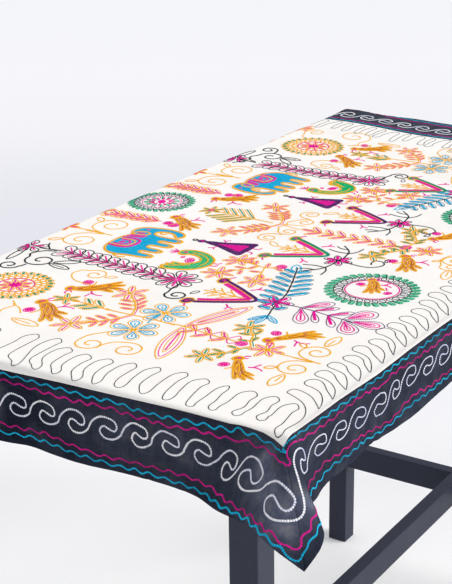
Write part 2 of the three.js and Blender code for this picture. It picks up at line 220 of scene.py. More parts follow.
def drape(p0, q):
    p0 = np.asarray(p0, float).ravel()
    q = np.asarray(q, float).ravel()
    p = settle(p0, q)
    out = np.zeros((len(p), 3))
    flat = (p > SOFT) & (p < TL - SOFT) & (q > SOFT) & (q < TW - SOFT)
    out[flat] = np.stack([p[flat], q[flat], np.full(flat.sum(), MID)], 1)
    m = ~flat
    acc = np.zeros((m.sum(), 3))
    for dp, dq, w in RING:
        acc += w * sharp(p[m] + dp * SOFT, q[m] + dq * SOFT)
    out[m] = acc / RING_SUM
    out[:, 0] -= swell(WAVE["near"], q) * np.maximum(0, (-p - CLEAR) / 107) ** 1.4
    out[:, 1] -= swell(WAVE["right"], p) * np.maximum(0, (-q - CLEAR) / 92) ** 1.4
    out[:, 1] += swell(WAVE["left"], p) * np.maximum(0, (q - TW - CLEAR) / 224) ** 1.4
    out[:, 2] += swell(RISE, q) * smooth((p0 - SEAM["far"] - 25) / (WIDE["far"] - 35))
    return out


# ------------------------------------------------------------------ relief of the hung cloth
def ripple(seed, x, y, short, long, count=14):
    """Soft seeded unevenness of about unit height, with waves from short to long."""
    rng = np.random.default_rng(seed)
    out = np.zeros_like(x)
    for _ in range(count):
        wave = short * (long / short) ** rng.random()
        a, ph = rng.random() * 2 * np.pi, rng.random() * 2 * np.pi
        out += np.sin((x * np.cos(a) + y * np.sin(a)) * 2 * np.pi / wave + ph) * (wave / long) ** 0.4
    return out / math.sqrt(count) * 1.2


# Pressed creases: the side they hang on, place along it, how deep, half width,
# and the start and end below the table's edge.
CREASE = [
    ("near", 192, -1.1, 4, 0, 110), ("near", 200, 0.7, 6, 0, 110),
    ("near", 141, 0.9, 5, 6, 110), ("near", 133, -0.6, 6, 10, 110),
    ("near", 520, -0.6, 6, 0, 110), ("near", 610, 0.5, 9, 10, 110),
    ("right", 201, -1.2, 3.5, 0, 95), ("right", 208, 0.7, 6, 0, 95),
    ("right", 640, -0.7, 5, 0, 95), ("right", 648, 0.5, 7, 0, 95),
    ("right", 1010, -0.6, 6, 0, 95),
    ("left", 470, -1.0, 5, 0, 230), ("left", 480, 0.6, 8, 0, 230),
    ("left", 840, 0.9, 7, 0, 230), ("left", 1130, -0.8, 6, 0, 230),
]


# Near its closest corner the cloth is drawn a few millimetres along itself, so
# its seams and hems wander: how far they move, by the place along each side.
SLIP_P = ([-80, -13, 17, 65, 107, 152, 197, 240, 287, 377, 460], [0, 6.5, 5, 4.6, 4.5, 2.5, .5, 1, 2, 2, 0])
SLIP_Q = ([-35, -6, 3, 10, 23, 34, 45, 56, 67, 78, 140, 230, 320, 410, 480], [0, -4.5, -7, -6, -2, 2, 3, 4, 4, 2.5, 3, 2, 2, -1, 0])


def slip(p, q):
    d = q - SEAM["right"]
    dq = np.interp(p, *SLIP_P) * np.where(d > 0, smooth(1 - d / 16), 1)
    e = p - SEAM["near"]
    dp = np.interp(q + dq, *SLIP_Q) * np.where(e > 0, smooth(1 - e / 16), np.exp(-(e / 16) ** 2))
    return p + dp, q + dq


def relief(p, q):
    """Height of the cloth off its plain drape, along its upper face."""
    near, right = -p - CLEAR, -q - CLEAR
    left, far = q - TW - CLEAR, settle(p, q) - TL - CLEAR
    drop = smooth(np.maximum.reduce([near, right, left, far]) / 30)
    top = ripple(3, p, q, 90, 420) * 0.18 + ripple(4, p, q, 26, 70) * 0.05
    hang = ripple(5, p, q, 45, 170) * 0.75 + ripple(6, p, q, 16, 40) * 0.14
    h = np.maximum(top, -0.12) * (1 - drop) + hang * drop
    for side, at, deep, half, start, end in CREASE:
        down = {"near": near, "right": right, "left": left}[side]
        along = q if side == "near" else p
        bend = at + 1.6 * np.sin(down / 17.0 + at)
        fade = smooth((down - start) / 14) * smooth((end + 20 - down) / 20)
        h += deep * np.exp(-((along - bend) / half) ** 2) * fade
    # The stitching of the seams draws the cloth up a little on both sides.
    for side, d, along in (
        ("near", p - SEAM["near"] - np.interp(q, *SLIP_Q), q), ("far", p - SEAM["far"], q),
        ("right", q - SEAM["right"] - np.interp(p, *SLIP_P), p), ("left", q - SEAM["left"], p),
    ):
        inside = 1.0
        if side in ("near", "far"):
            inside = smooth((q - SEAM["right"] + 90) / 8) * smooth((SEAM["left"] + 90 - q) / 8)
        pull = np.exp(-(d / 7.0) ** 2)
        h += pull * inside * (0.16 * np.sin(along * 2 * np.pi / 13.0 + 1.3 * np.sin(along / 37.0)) + 0.1)
        h -= 0.45 * np.exp(-(d / 0.9) ** 2) * inside
    return h


STEP = 2.0
GP = np.arange(-112, 1399, STEP)
GQ = np.arange(-97, 910, STEP)
_P, _Q = np.meshgrid(GP, GQ, indexing="ij")
_S = drape(_P, _Q).reshape(len(GP), len(GQ), 3)


def _normals(S):
    a, b = np.gradient(S, axis=0), np.gradient(S, axis=1)
    n = np.cross(a, b)
    return n / np.linalg.norm(n, axis=2, keepdims=True)


_S = _S + _normals(_S) * relief(_P.ravel(), _Q.ravel()).reshape(_P.shape)[..., None]
_N = _normals(_S)


def surface(p, q, h=0.0):
    """Place in mm of flat point (p, q) on the hung cloth, h above its middle."""
    p, q = slip(np.asarray(p, float), np.asarray(q, float))
    x = np.clip((p - GP[0]) / STEP, 0, len(GP) - 1.001)
    y = np.clip((q - GQ[0]) / STEP, 0, len(GQ) - 1.001)
    i, j = x.astype(int), y.astype(int)
    u, v = (x - i)[..., None], (y - j)[..., None]

    def mix(A):
        return (A[i, j] * (1 - u) * (1 - v) + A[i + 1, j] * u * (1 - v) + A[i, j + 1] * (1 - u) * v + A[i + 1, j + 1] * u * v)

    n = mix(_N)
    n = n / np.linalg.norm(n, axis=-1, keepdims=True)
    return mix(_S) + n * np.asarray(h, float)[..., None]


# ------------------------------------------------------------------ mesh helper
def mesh_object(name, verts_mm, faces, attrs=(), smooth_faces=True, uv=None):
    """faces: (n, 3 or 4) array of vertex numbers. attrs: (name, type, values per point)."""
    me = bpy.data.meshes.new(name)
    faces = np.asarray(faces, np.int32)
    verts = world(verts_mm)
    n, k = faces.shape
    me.vertices.add(len(verts))
    me.vertices.foreach_set("co", verts.astype(np.float32).ravel())
    me.loops.add(n * k)
    me.loops.foreach_set("vertex_index", faces.ravel())
    me.polygons.add(n)
    me.polygons.foreach_set("loop_start", np.arange(0, n * k, k, dtype=np.int32))
    me.update(calc_edges=True)
    me.polygons.foreach_set("use_smooth", np.full(n, smooth_faces))
    for an, kind, values in attrs:
        a = me.attributes.new(an, kind, "POINT")
        a.data.foreach_set({"FLOAT": "value", "FLOAT_VECTOR": "vector"}[kind], np.asarray(values, np.float32).ravel())
    if uv is not None:
        layer = me.uv_layers.new(name="OFBake")
        layer.data.foreach_set("uv", np.asarray(uv, np.float32)[faces.ravel()].ravel())
    me.validate()
    ob = bpy.data.objects.new(name, me)
    bpy.context.collection.objects.link(ob)
    return ob


# ------------------------------------------------------------------ node helpers
class Nodes:
    def __init__(self, name):
        self.mat = bpy.data.materials.new(name)
        self.mat.use_nodes = True
        self.t = self.mat.node_tree
        self.bsdf = self.t.nodes["Principled BSDF"]

    def add(self, kind, **props):
        n = self.t.nodes.new(kind)
        for k, v in props.items():
            setattr(n, k, v)
        return n

    def put(self, value, socket):
        if isinstance(value, bpy.types.NodeSocket):
            self.t.links.new(value, socket)
        else:
            socket.default_value = value

    def math(self, op, a, b=0.0, c=None, clamp=False):
        n = self.add("ShaderNodeMath", operation=op, use_clamp=clamp)
        self.put(a, n.inputs[0])
        self.put(b, n.inputs[1])
        if c is not None:
            self.put(c, n.inputs[2])
        return n.outputs[0]

    def attr(self, name):
        return self.add("ShaderNodeAttribute", attribute_name=name)

    def scaled(self, vector, scale):
        n = self.add("ShaderNodeMapping")
        self.put(vector, n.inputs["Vector"])
        n.inputs["Scale"].default_value = scale
        return n.outputs[0]

    def noise(self, vector, scale, detail=2.0, rough=0.5):
        n = self.add("ShaderNodeTexNoise")
        self.put(vector, n.inputs["Vector"])
        n.inputs["Scale"].default_value = scale
        n.inputs["Detail"].default_value = detail
        n.inputs["Roughness"].default_value = rough
        return n.outputs["Fac"]

    def ramp(self, fac, stops, interpolation="LINEAR"):
        n = self.add("ShaderNodeValToRGB")
        n.color_ramp.interpolation = interpolation
        el = n.color_ramp.elements
        while len(el) < len(stops):
            el.new(0.5)
        for e, (at, col) in zip(el, stops):
            e.position = at
            e.color = (*col, 1) if len(col) == 3 else col
        self.put(fac, n.inputs["Fac"])
        return n.outputs["Color"]

    def mix(self, fac, a, b, blend="MIX"):
        n = self.add("ShaderNodeMix", data_type="RGBA", blend_type=blend)
        self.put(fac, n.inputs["Factor"])
        for v, s in ((a, n.inputs[6]), (b, n.inputs[7])):
            self.put((*v, 1) if isinstance(v, tuple) and len(v) == 3 else v, s)
        return n.outputs[2]

    def bump(self, height, distance, strength=1.0, normal=None):
        n = self.add("ShaderNodeBump")
        n.inputs["Strength"].default_value = strength
        n.inputs["Distance"].default_value = distance
        self.put(height, n.inputs["Height"])
        if normal is not None:
            self.put(normal, n.inputs["Normal"])
        return n.outputs[0]

    def wave(self, x, per_mm):
        """0 to 1 ridges along one coordinate in metres."""
        s = self.math("SINE", self.math("MULTIPLY", x, 2 * math.pi * 1000 / per_mm))
        return self.math("MULTIPLY_ADD", s, 0.5, 0.5)


def srgb(h):
    h = h.lstrip("#")
    c = [int(h[i:i + 2], 16) / 255 for i in (0, 2, 4)]
    return tuple(x / 12.92 if x <= 0.04045 else ((x + 0.055) / 1.055) ** 2.4 for x in c)


def cloth_material(name, base, dark, light, pitch, weave, patch=0.0, sheen=0.1):
    """Plain-woven cotton: threads over and under, slubs, and soft unevenness of the dye."""
    k = Nodes(name)
    flat = k.attr("flat")
    sep = k.add("ShaderNodeSeparateXYZ")
    k.put(flat.outputs["Vector"], sep.inputs[0])
    wob = k.noise(flat.outputs["Vector"], 260, 2)
    x = k.math("MULTIPLY_ADD", wob, 0.0004, sep.outputs[0])
    y = k.math("MULTIPLY_ADD", wob, 0.0004, sep.outputs[1])
    wx, wy = k.wave(x, pitch), k.wave(y, pitch * 1.08)
    over = k.math("GREATER_THAN", k.math("MULTIPLY", k.math("SUBTRACT", k.wave(x, pitch * 2), 0.5), k.math("SUBTRACT", k.wave(y, pitch * 2.16), 0.5)), 0.0)
    thread = k.mix(over, wx, wy)
    slub_x = k.noise(k.scaled(flat.outputs["Vector"], (40, 1400, 1)), 1.0, 2)
    slub_y = k.noise(k.scaled(flat.outputs["Vector"], (1400, 40, 1)), 1.0, 2)
    slub = k.math("MAXIMUM", slub_x, slub_y)
    uneven = k.noise(flat.outputs["Vector"], 9, 4, 0.6)
    if patch:   # thick and thin threads that show from afar
        thick = k.math("MAXIMUM", k.noise(k.scaled(flat.outputs["Vector"], (34, 420, 1)), 1.0, 3), k.noise(k.scaled(flat.outputs["Vector"], (420, 34, 1)), 1.0, 3))
        uneven = k.math("MULTIPLY_ADD", k.math("SUBTRACT", thick, 0.56), 2.6, uneven)
    col = k.mix(k.math("MULTIPLY_ADD", slub, 1.6, -0.5, clamp=True), dark, base)
    col = k.mix(k.math("MULTIPLY_ADD", uneven, 1.4, -0.45, clamp=True), col, light)
    if patch:
        # Rubbed wear and painted highlight: lighter greys mixed in on the fold bellies and along the edge turns.
        wear_and_painted_light = k.attr("wear_and_painted_light").outputs["Fac"]
        spots = k.noise(k.scaled(flat.outputs["Vector"], (60, 60, 1)), 1.0, 5, 0.65)
        col = k.mix(k.math("MULTIPLY", wear_and_painted_light, k.math("MULTIPLY_ADD", spots, 1.2, 0.1, clamp=True)), col, k.mix(k.math("MULTIPLY_ADD", spots, 3.0, -1.4, clamp=True), srgb("#646a80"), srgb("#7a7975")))
        k.put(k.math("MULTIPLY_ADD", wear_and_painted_light, -0.1, 0.88), k.bsdf.inputs["Roughness"])
    else:
        # Painted shade: the pale cloth greyed along the turn of its long right edge.
        col = k.mix(k.attr("wear_and_painted_light").outputs["Fac"], col, srgb("#d8d5d3"))
        k.bsdf.inputs["Roughness"].default_value = 0.86
    k.put(col, k.bsdf.inputs["Base Color"])
    k.bsdf.inputs["Sheen Weight"].default_value = sheen
    k.bsdf.inputs["Sheen Roughness"].default_value = 0.5
    k.bsdf.inputs["Specular IOR Level"].default_value = 0.25 if not patch else 0.05
    h = k.math("MULTIPLY_ADD", slub, 0.6, thread)
    k.put(k.bump(h, weave, 0.55), k.bsdf.inputs["Normal"])
    return k.mat


def paint_material(name, base, light):
    """Satin powder coat on steel: a fine orange peel, a little dust and rubbed places."""
    k = Nodes(name)
    co = k.add("ShaderNodeTexCoord").outputs["Object"]
    peel = k.noise(co, 900, 2, 0.6)
    dust = k.noise(co, 14, 5, 0.65)
    fine = k.noise(co, 180, 3, 0.6)
    col = k.mix(k.math("MULTIPLY_ADD", dust, 1.3, -0.45, clamp=True), base, light)
    col = k.mix(k.math("MULTIPLY_ADD", fine, 0.5, -0.22, clamp=True), col, tuple(c * 1.5 for c in light))
    k.put(col, k.bsdf.inputs["Base Color"])
    k.put(k.math("MULTIPLY_ADD", dust, 0.25, 0.34), k.bsdf.inputs["Roughness"])
    k.bsdf.inputs["Specular IOR Level"].default_value = 0.14
    k.put(k.bump(peel, 0.0002, 0.35), k.bsdf.inputs["Normal"])
    return k.mat


def thread_material(name, base, shade, sheen=0.0, deep=0.42):
    """Stranded cotton thread: two strands to a loop, with painted shade down the slit of each loop and along its twist,
    its tone between a lit and a shaded colour changing stitch by stitch.
    """
    k = Nodes(name)
    st = k.attr("st")
    sep = k.add("ShaderNodeSeparateXYZ")
    k.put(st.outputs["Vector"], sep.inputs[0])
    along, side, tint = sep.outputs
    across = k.math("ABSOLUTE", side)
    strand = k.math("SINE", k.math("MULTIPLY", across, math.pi))
    twist = k.math("SINE", k.math("MULTIPLY_ADD", along, 14.0, k.math("MULTIPLY", across, 9.0)))
    slit = k.math("SMOOTH_MIN", k.math("MULTIPLY", across, 3.2), 1.0, 0.3)
    slit_shade = k.math("MULTIPLY", slit, k.math("MULTIPLY_ADD", twist, 0.12, 0.88), clamp=True)
    col = k.mix(tint, shade, base)
    # Painted shade: darker in the slit down the middle of each loop and along the twist.
    col = k.mix(k.math("MULTIPLY_ADD", slit_shade, 0.6, 0.4, clamp=True), tuple(c * deep for c in shade), col)
    k.put(col, k.bsdf.inputs["Base Color"])
    k.bsdf.inputs["Roughness"].default_value = 0.55
    k.bsdf.inputs["Sheen Weight"].default_value = sheen
    k.bsdf.inputs["Specular IOR Level"].default_value = 0.08
    k.put(k.bump(k.math("MULTIPLY_ADD", twist, 0.35, strand), 0.0003, 0.5), k.bsdf.inputs["Normal"])
    return k.mat


CREAM = cloth_material("cream_cotton", srgb("#f2f0ed"), srgb("#e8e4de"), srgb("#f7f5f3"), 0.62, 0.00010)
CHARCOAL = cloth_material("charcoal_cotton", srgb("#191e2b"), srgb("#0f131d"), srgb("#262c3d"), 0.66, 0.00014, patch=1.0, sheen=0.0)
PAINT = paint_material("slate_paint", srgb("#2e3240"), srgb("#383c4b"))
BOARD = paint_material("slate_board", srgb("#272a35"), srgb("#30333f"))

# ------------------------------------------------------------------ cloth pieces
SEAM_GAP = 0.2      # half of the sunk line between two sewn pieces


def lines(lo, hi, coarse, fine=(), near=12.0, tight=2.0):
    """Places from lo to hi, coarse apart, and tight apart near the places in fine."""
    out, x = [lo], lo
    while x < hi:
        step = coarse
        for f in fine:
            d = abs(x - f)
            step = min(step, tight if d < near else tight + (d - near) * 0.25)
        x += max(tight, step)
        out.append(min(x, hi))
    if hi - out[-2] < tight * 0.6:
        out.pop(-2)
    return np.array(out)


def wear_and_painted_light(p, q):
    """Where the dark cloth is lighter: partly real rubbed wear, partly painted highlight on the bellies of the corner
    folds and along the turn of the edges.
    """
    spots = [(-60, 215, 50, 110, .26), (-60, 80, 50, 90, .2), (-62, 6, 50, 36, .5), (-96, -36, 34, 34, .56), (-60, -50, 30, 30, .4), (-38, 22, 16, 11, .75), (-62, -6, 13, 15, .9), (-48, -62, 9, 12, .7), (-88, -52, 8, 14, .55),
             (-30, 640, 26, 12, .4), (-60, 420, 30, 9, .3), (500, -50, 40, 10, .3), (900, -40, 60, 12, .35)]
    w = np.zeros_like(p)
    for a, b, ra, rb, k in spots:
        w += k * np.exp(-((p - a) / ra) ** 2 - ((q - b) / rb) ** 2)
    w += 0.13 * smooth((-q - 2) / 6) * smooth((p + 25) / 30)
    w += 0.3 * smooth((p - SEAM["far"]) / 8)
    return np.clip(w + 0.12 * np.clip(ripple(9, p, q, 30, 120), 0, 1), 0, 1)


def painted_turn_shade(p, q):
    """Painted shade: where the pale cloth is greyed, along its turn over the table's long right edge."""
    return np.clip(0.85 * np.exp(-((q - 2) / 8.0) ** 2) * smooth(p / 20), 0, 1)


def hem_fold(d):
    """How much thicker the cloth is where its edge is turned under, d in from the hem."""
    return 0.55 * smooth((7.5 - d) / 1.6) * smooth(d / 1.2 + 0.35)


def cloth_piece(name, P, Q, material, hem_side=None):
    """A closed sheet over the flat grid P, Q (2-D arrays). Its hem edge is turned under, so thicker."""
    ni, nj = P.shape
    t = np.full(P.shape, THICK)
    if hem_side is not None:
        t = THICK + hem_fold({"near": P - HEM["near"], "right": Q - HEM["right"], "far": HEM["far"] - P, "left": HEM["left"] - Q}[hem_side])
    top, low = surface(P, Q, t / 2), surface(P, Q, -t / 2)
    verts = np.concatenate([top.reshape(-1, 3), low.reshape(-1, 3)])
    n = ni * nj
    ids = np.arange(n).reshape(ni, nj)
    q0 = np.stack([ids[:-1, :-1], ids[1:, :-1], ids[1:, 1:], ids[:-1, 1:]], -1).reshape(-1, 4)
    faces = [q0, q0[:, ::-1] + n]
    ring = np.concatenate([ids[:, 0], ids[-1, 1:], ids[-2::-1, -1], ids[0, -2:0:-1]])
    nxt = np.roll(ring, -1)
    faces.append(np.stack([nxt, ring, ring + n, nxt + n], -1))
    faces = np.concatenate(faces)
    # Outward check on the upper face
    a, b, c = verts[q0[0][0]], verts[q0[0][1]], verts[q0[0][2]]
    if np.dot(np.cross(b - a, c - a), top.reshape(-1, 3)[q0[0][0]] - low.reshape(-1, 3)[q0[0][0]]) < 0:
        faces = faces[:, ::-1]
    p2, q2 = np.tile(P.ravel(), 2), np.tile(Q.ravel(), 2)
    side = np.repeat([0.0, 1.0], n)
    span = max(P.max() - P.min(), Q.max() - Q.min()) * 1.02
    wide = (Q.max() - Q.min()) > (P.max() - P.min())
    u = (q2 - Q.min()) / span if wide else (p2 - P.min()) / span
    v = (p2 - P.min()) / span if wide else (q2 - Q.min()) / span
    half = v.max()
    if half > 0.5:          # both faces side by side in the map
        u, v = u * 0.75, v * 0.75
        half = v.max()
    uv = np.stack([u + 0.004, v + 0.004 + side * (half + 0.012)], -1)
    uv /= max(1.0, uv.max() + 0.004)
    # The pale cloth gets painted shade along its right turn. The dark cloth gets rubbed wear mixed with painted
    # highlight.
    ob = mesh_object(name, verts, faces, [
        ("flat", "FLOAT_VECTOR", np.stack([p2 * MM, q2 * MM, side * 0.37], -1)),
        ("wear_and_painted_light", "FLOAT", (painted_turn_shade if material is CREAM else wear_and_painted_light)(p2, q2) * (1 - side * 0.6)),
    ], uv=uv)
    ob.data.materials.append(material)
    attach(ob, "root")
    return ob


EDGE_P = (0.0, TL - 20)
f_p = lines(SEAM["near"] + SEAM_GAP, SEAM["far"] - SEAM_GAP, 5.4, (0, -13, SEAM["far"]), 9, 1.6)
f_q = lines(SEAM["right"] + SEAM_GAP, SEAM["left"] - SEAM_GAP, 5.4, (-2, TW, SEAM["left"]), 9, 1.6)
FP, FQ = np.meshgrid(f_p, f_q, indexing="ij")
field = cloth_piece("cloth_field", FP, FQ, CREAM)


ACROSS = lines(0.0, 1.0, 0.029, (0, 1), 0.06, 0.0105)


def strip(side, coarse=3.6):
    """A border strip between its mitres, as flat grids."""
    outward = -1 if side in ("near", "right") else 1
    is_end = side in ("near", "far")
    lo, hi = ("right", "left") if is_end else ("near", "far")
    w = WIDE[side]
    d = np.maximum(ACROSS * w, SEAM_GAP)
    hard = {"near": (-3, TW), "far": (-3, TW), "right": (-3, TL), "left": (-3, TL)}[side]
    s = lines(SEAM[lo], SEAM[hi], coarse, hard, 6, 1.8)
    D, S = np.meshgrid(d, s, indexing="ij")
    f = np.broadcast_to(ACROSS[:, None], D.shape)
    t = (S - SEAM[lo]) / (SEAM[hi] - SEAM[lo])
    reach = 190.0
    k_lo = np.clip(1 - (S - SEAM[lo]) / reach, 0, 1) ** 1.25
    k_hi = np.clip(1 - (SEAM[hi] - S) / reach, 0, 1) ** 1.25
    at = S - f * WIDE[lo] * k_lo + f * WIDE[hi] * k_hi
    dist = SEAM[side] + outward * D
    return (dist, at) if is_end else (at, dist)


for _side in ("near", "right", "far", "left"):
    _a, _b = strip(_side, 3.6 if _side in ("near", "right") else 4.2)
    cloth_piece(f"cloth_border_{_side}", _a, _b, CHARCOAL, _side)

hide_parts("field")
for _side, (_w, _l) in {"near": (0.097, 1.002), "right": (0.092, 1.506), "far": (0.104, 1.002), "left": (0.090, 1.506)}.items():
    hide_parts(f"border_{_side}")

# ------------------------------------------------------------------ table
for _n in frame["nodes"]:
    _o = bpy.data.objects.get(_n)
    if _o is None or _o.type != "MESH":
        continue
    if _n.startswith(("leg_", "bar_", "rail_")) or _n == "tabletop":
        _m = BOARD if _n == "tabletop" else PAINT
        if _o.material_slots:
            for _s in _o.material_slots:
                _s.material = _m
        else:
            _o.data.materials.append(_m)

# ------------------------------------------------------------------ embroidery
# Every line of thread is a run of chain stitches laid on the hung cloth. Paths
# are drawn in flat millimetres: x is p and y is q, so a figure's up is the far
# long side of the table.
STITCHES = {}
BOLD = 2.05          # the motifs are worked in a thicker yarn than the waved lines


def spline(points, closed=False, step=0.7):
    pts = np.asarray(points, float)
    if closed:
        pts = np.concatenate([pts[-1:], pts, pts[:2]])
    else:
        pts = np.concatenate([2 * pts[:1] - pts[1:2], pts, 2 * pts[-1:] - pts[-2:-1]])
    out = []
    for a, b, c, d in zip(pts[:-3], pts[1:-2], pts[2:-1], pts[3:]):
        n = max(2, int(np.linalg.norm(c - b) / step))
        t = (np.arange(n) / n)[:, None]
        out.append(0.5 * (2 * b + (c - a) * t + (2 * a - 5 * b + 4 * c - d) * t ** 2 + (3 * b - a - 3 * c + d) * t ** 3))
    out.append(pts[-2:-1])
    return np.concatenate(out)


def sew(colour, points, w=2.0, pitch=2.4, closed=False, curve=True, lift=0.0, shaky=0.0, full=1.24):
    """A run of chain stitches along the points."""
    pts = np.asarray(points, float)
    if closed and not curve:
        pts = np.concatenate([pts, pts[:1]])
    path = spline(pts, closed) if curve and len(pts) > 2 else pts
    if shaky:
        s = np.arange(len(path))
        ph = RNG.random(4) * 6.28
        path = path + shaky * np.stack([np.sin(s / 9.0 + ph[0]) + 0.5 * np.sin(s / 4.1 + ph[1]), np.cos(s / 10.0 + ph[2]) + 0.5 * np.sin(s / 4.7 + ph[3])], 1) * 0.5
    seg = np.linalg.norm(np.diff(path, axis=0), axis=1)
    cum = np.concatenate([[0], np.cumsum(seg)])
    total = cum[-1]
    if total < 0.8:
        return
    n = max(1, int(round(total / pitch)))
    s = (np.arange(n) + 0.5) * total / n

    def at(v):
        v = np.clip(v, 0, total)
        return np.stack([np.interp(v, cum, path[:, 0]), np.interp(v, cum, path[:, 1])], 1)

    c = at(s)
    d = at(s + pitch * 0.45) - at(s - pitch * 0.45)
    ang = np.arctan2(d[:, 1], d[:, 0]) + RNG.normal(0, 0.035, n)
    size = RNG.normal(1, 0.06, n)
    drift = 0.5 + 0.28 * np.sin(s / 31.0 + RNG.random() * 6.28) + RNG.normal(0, 0.16, n)
    STITCHES.setdefault(colour, []).append(np.stack([
        c[:, 0], c[:, 1], ang, total / n * full * np.ones(n), w * size, 0.30 * w * np.ones(n), lift * np.ones(n), np.clip(drift, 0, 1)], 1))


def fill(colour, outline, deg=0.0, w=2.7, gap=1.85, pitch=2.9, inset=0.9, curve=True, lift=0.0):
    """Rows of chain stitches that fill a closed outline."""
    poly = spline(outline, True, 1.5)[:-1] if curve else np.asarray(outline, float)
    a = math.radians(deg)
    R = np.array([[math.cos(a), math.sin(a)], [-math.sin(a), math.cos(a)]])
    pr = poly @ R.T
    nx = np.roll(pr, -1, axis=0)
    y = pr[:, 1].min() + gap * 0.5
    rows = []
    while y < pr[:, 1].max():
        m = (pr[:, 1] > y) != (nx[:, 1] > y)
        xs = np.sort(pr[m, 0] + (y - pr[m, 1]) / (nx[m, 1] - pr[m, 1]) * (nx[m, 0] - pr[m, 0]))
        for x0, x1 in zip(xs[::2], xs[1::2]):
            x0, x1 = x0 + inset, x1 - inset
            if x1 - x0 < 0.6:
                continue
            n = max(1, int(round((x1 - x0) / pitch)))
            x = x0 + (np.arange(n) + 0.5) * (x1 - x0) / n
            rows.append(np.stack([x, y + 0.22 * np.sin(x / 6.0 + y), np.full(n, (x1 - x0) / n)], 1))
        y += gap
    if not rows:
        return
    r = np.concatenate(rows)
    c = r[:, :2] @ R
    n = len(r)
    STITCHES.setdefault(colour, []).append(np.stack([
        c[:, 0], c[:, 1], a + RNG.normal(0, 0.06, n), np.maximum(r[:, 2] * 1.25, 2.0), w * RNG.normal(1, 0.06, n), 0.26 * w * np.ones(n),
        lift * np.ones(n), np.clip(0.5 + 0.22 * np.sin(c[:, 0] / 9.0) * np.cos(c[:, 1] / 8.0) + RNG.normal(0, 0.2, n), 0, 1)], 1))


class Pen:
    """Draws a figure from its own millimetres at a place on the cloth."""

    def __init__(self, x, y, deg=0.0, scale=1.0, flip=False):
        a = math.radians(deg)
        self.R = np.array([[math.cos(a), -math.sin(a)], [math.sin(a), math.cos(a)]]) * scale
        self.flip, self.at, self.deg, self.scale = flip, np.array([x, y], float), deg, scale

    def __call__(self, pts):
        p = np.asarray(pts, float)
        out = p @ self.R.T
        if self.flip:
            out = out * [-1, 1]
        return out + self.at

    def line(self, colour, pts, w=2.0, **kw):
        sew(colour, self(pts), w * BOLD * (1.3 if colour == "black" else 1.0), **kw)

    def fill(self, colour, pts, deg=0.0, **kw):
        d = self.deg + deg
        fill(colour, self(pts), (180 - d) if self.flip else d, **kw)

    def sub(self, x, y, deg=0.0, scale=1.0, flip=False):
        child = Pen(0, 0)
        o = self([(x, y)])[0]
        child.__init__(o[0], o[1], self.deg + deg, self.scale * scale, False)
        if flip:
            child.R = child.R @ np.array([[-1, 0], [0, 1]])
        if self.flip:
            child.flip = True
        return child


def oval(x, y, rx, ry, n=12, deg=0.0):
    a = np.arange(n) / n * 2 * np.pi
    d = math.radians(deg)
    px, py = rx * np.cos(a), ry * np.sin(a)
    return np.stack([x + px * math.cos(d) - py * math.sin(d), y + px * math.sin(d) + py * math.cos(d)], 1)


def curl(x, y, r0, r1, a0, turns, side=1, n=None):
    """A spiral from radius r0 in to r1 round (x, y), starting at angle a0 degrees."""
    n = n or max(6, int(abs(turns) * 12))
    t = np.linspace(0, 1, n)
    a = math.radians(a0) + side * turns * 2 * np.pi * t
    r = r0 + (r1 - r0) * t ** 0.9
    return np.stack([x + r * np.cos(a), y + r * np.sin(a)], 1)


def loop(x, y, deg, length, width):
    """A leaf-shaped loop from its stalk at (x, y) out along deg and back."""
    a = math.radians(deg)
    base = [(0, 0), (.22, .34), (.5, .5), (.8, .38), (1, 0), (.8, -.38), (.5, -.5), (.22, -.34)]
    return [(x + u * length * math.cos(a) - v * width * math.sin(a), y + u * length * math.sin(a) + v * width * math.cos(a)) for u, v in base]


def club(x, y, deg, length, width):
    """A rounder loop, widest near its end."""
    a = math.radians(deg)
    base = [(0, 0), (.25, .2), (.55, .46), (.82, .48), (1, .16), (1, -.16), (.82, -.48), (.55, -.46), (.25, -.2)]
    return [(x + u * length * math.cos(a) - v * width * math.sin(a), y + u * length * math.sin(a) + v * width * math.cos(a)) for u, v in base]


def ray(x, y, deg, r0, r1):
    a = math.radians(deg)
    return [(x + r0 * math.cos(a), y + r0 * math.sin(a)), (x + r1 * math.cos(a), y + r1 * math.sin(a))]


# -------------------------------------------------------------- figures
def burst(k, x, y, r, n, rim, heart, start=15, w=1.5):
    """A small open flower of n strokes, each a thin loop with a bright line in it."""
    for i in range(n):
        d = start + 360 * i / n + 5 * math.sin(i * 2.4 + x)
        rr = r * (1.0, 0.86, 0.95)[i % 3]
        near = rr * (0.16 if rim in ("black", "purple") else 0.0)
        k.line(rim, loop(*ray(x, y, d, 0, near)[1], d, rr - near, r * 0.32), w, closed=True)
        k.line(heart, ray(x, y, d, 0 if near else rr * 0.24, rr * 0.84), w * (1.2 if near else 0.95), curve=False, lift=0.12)


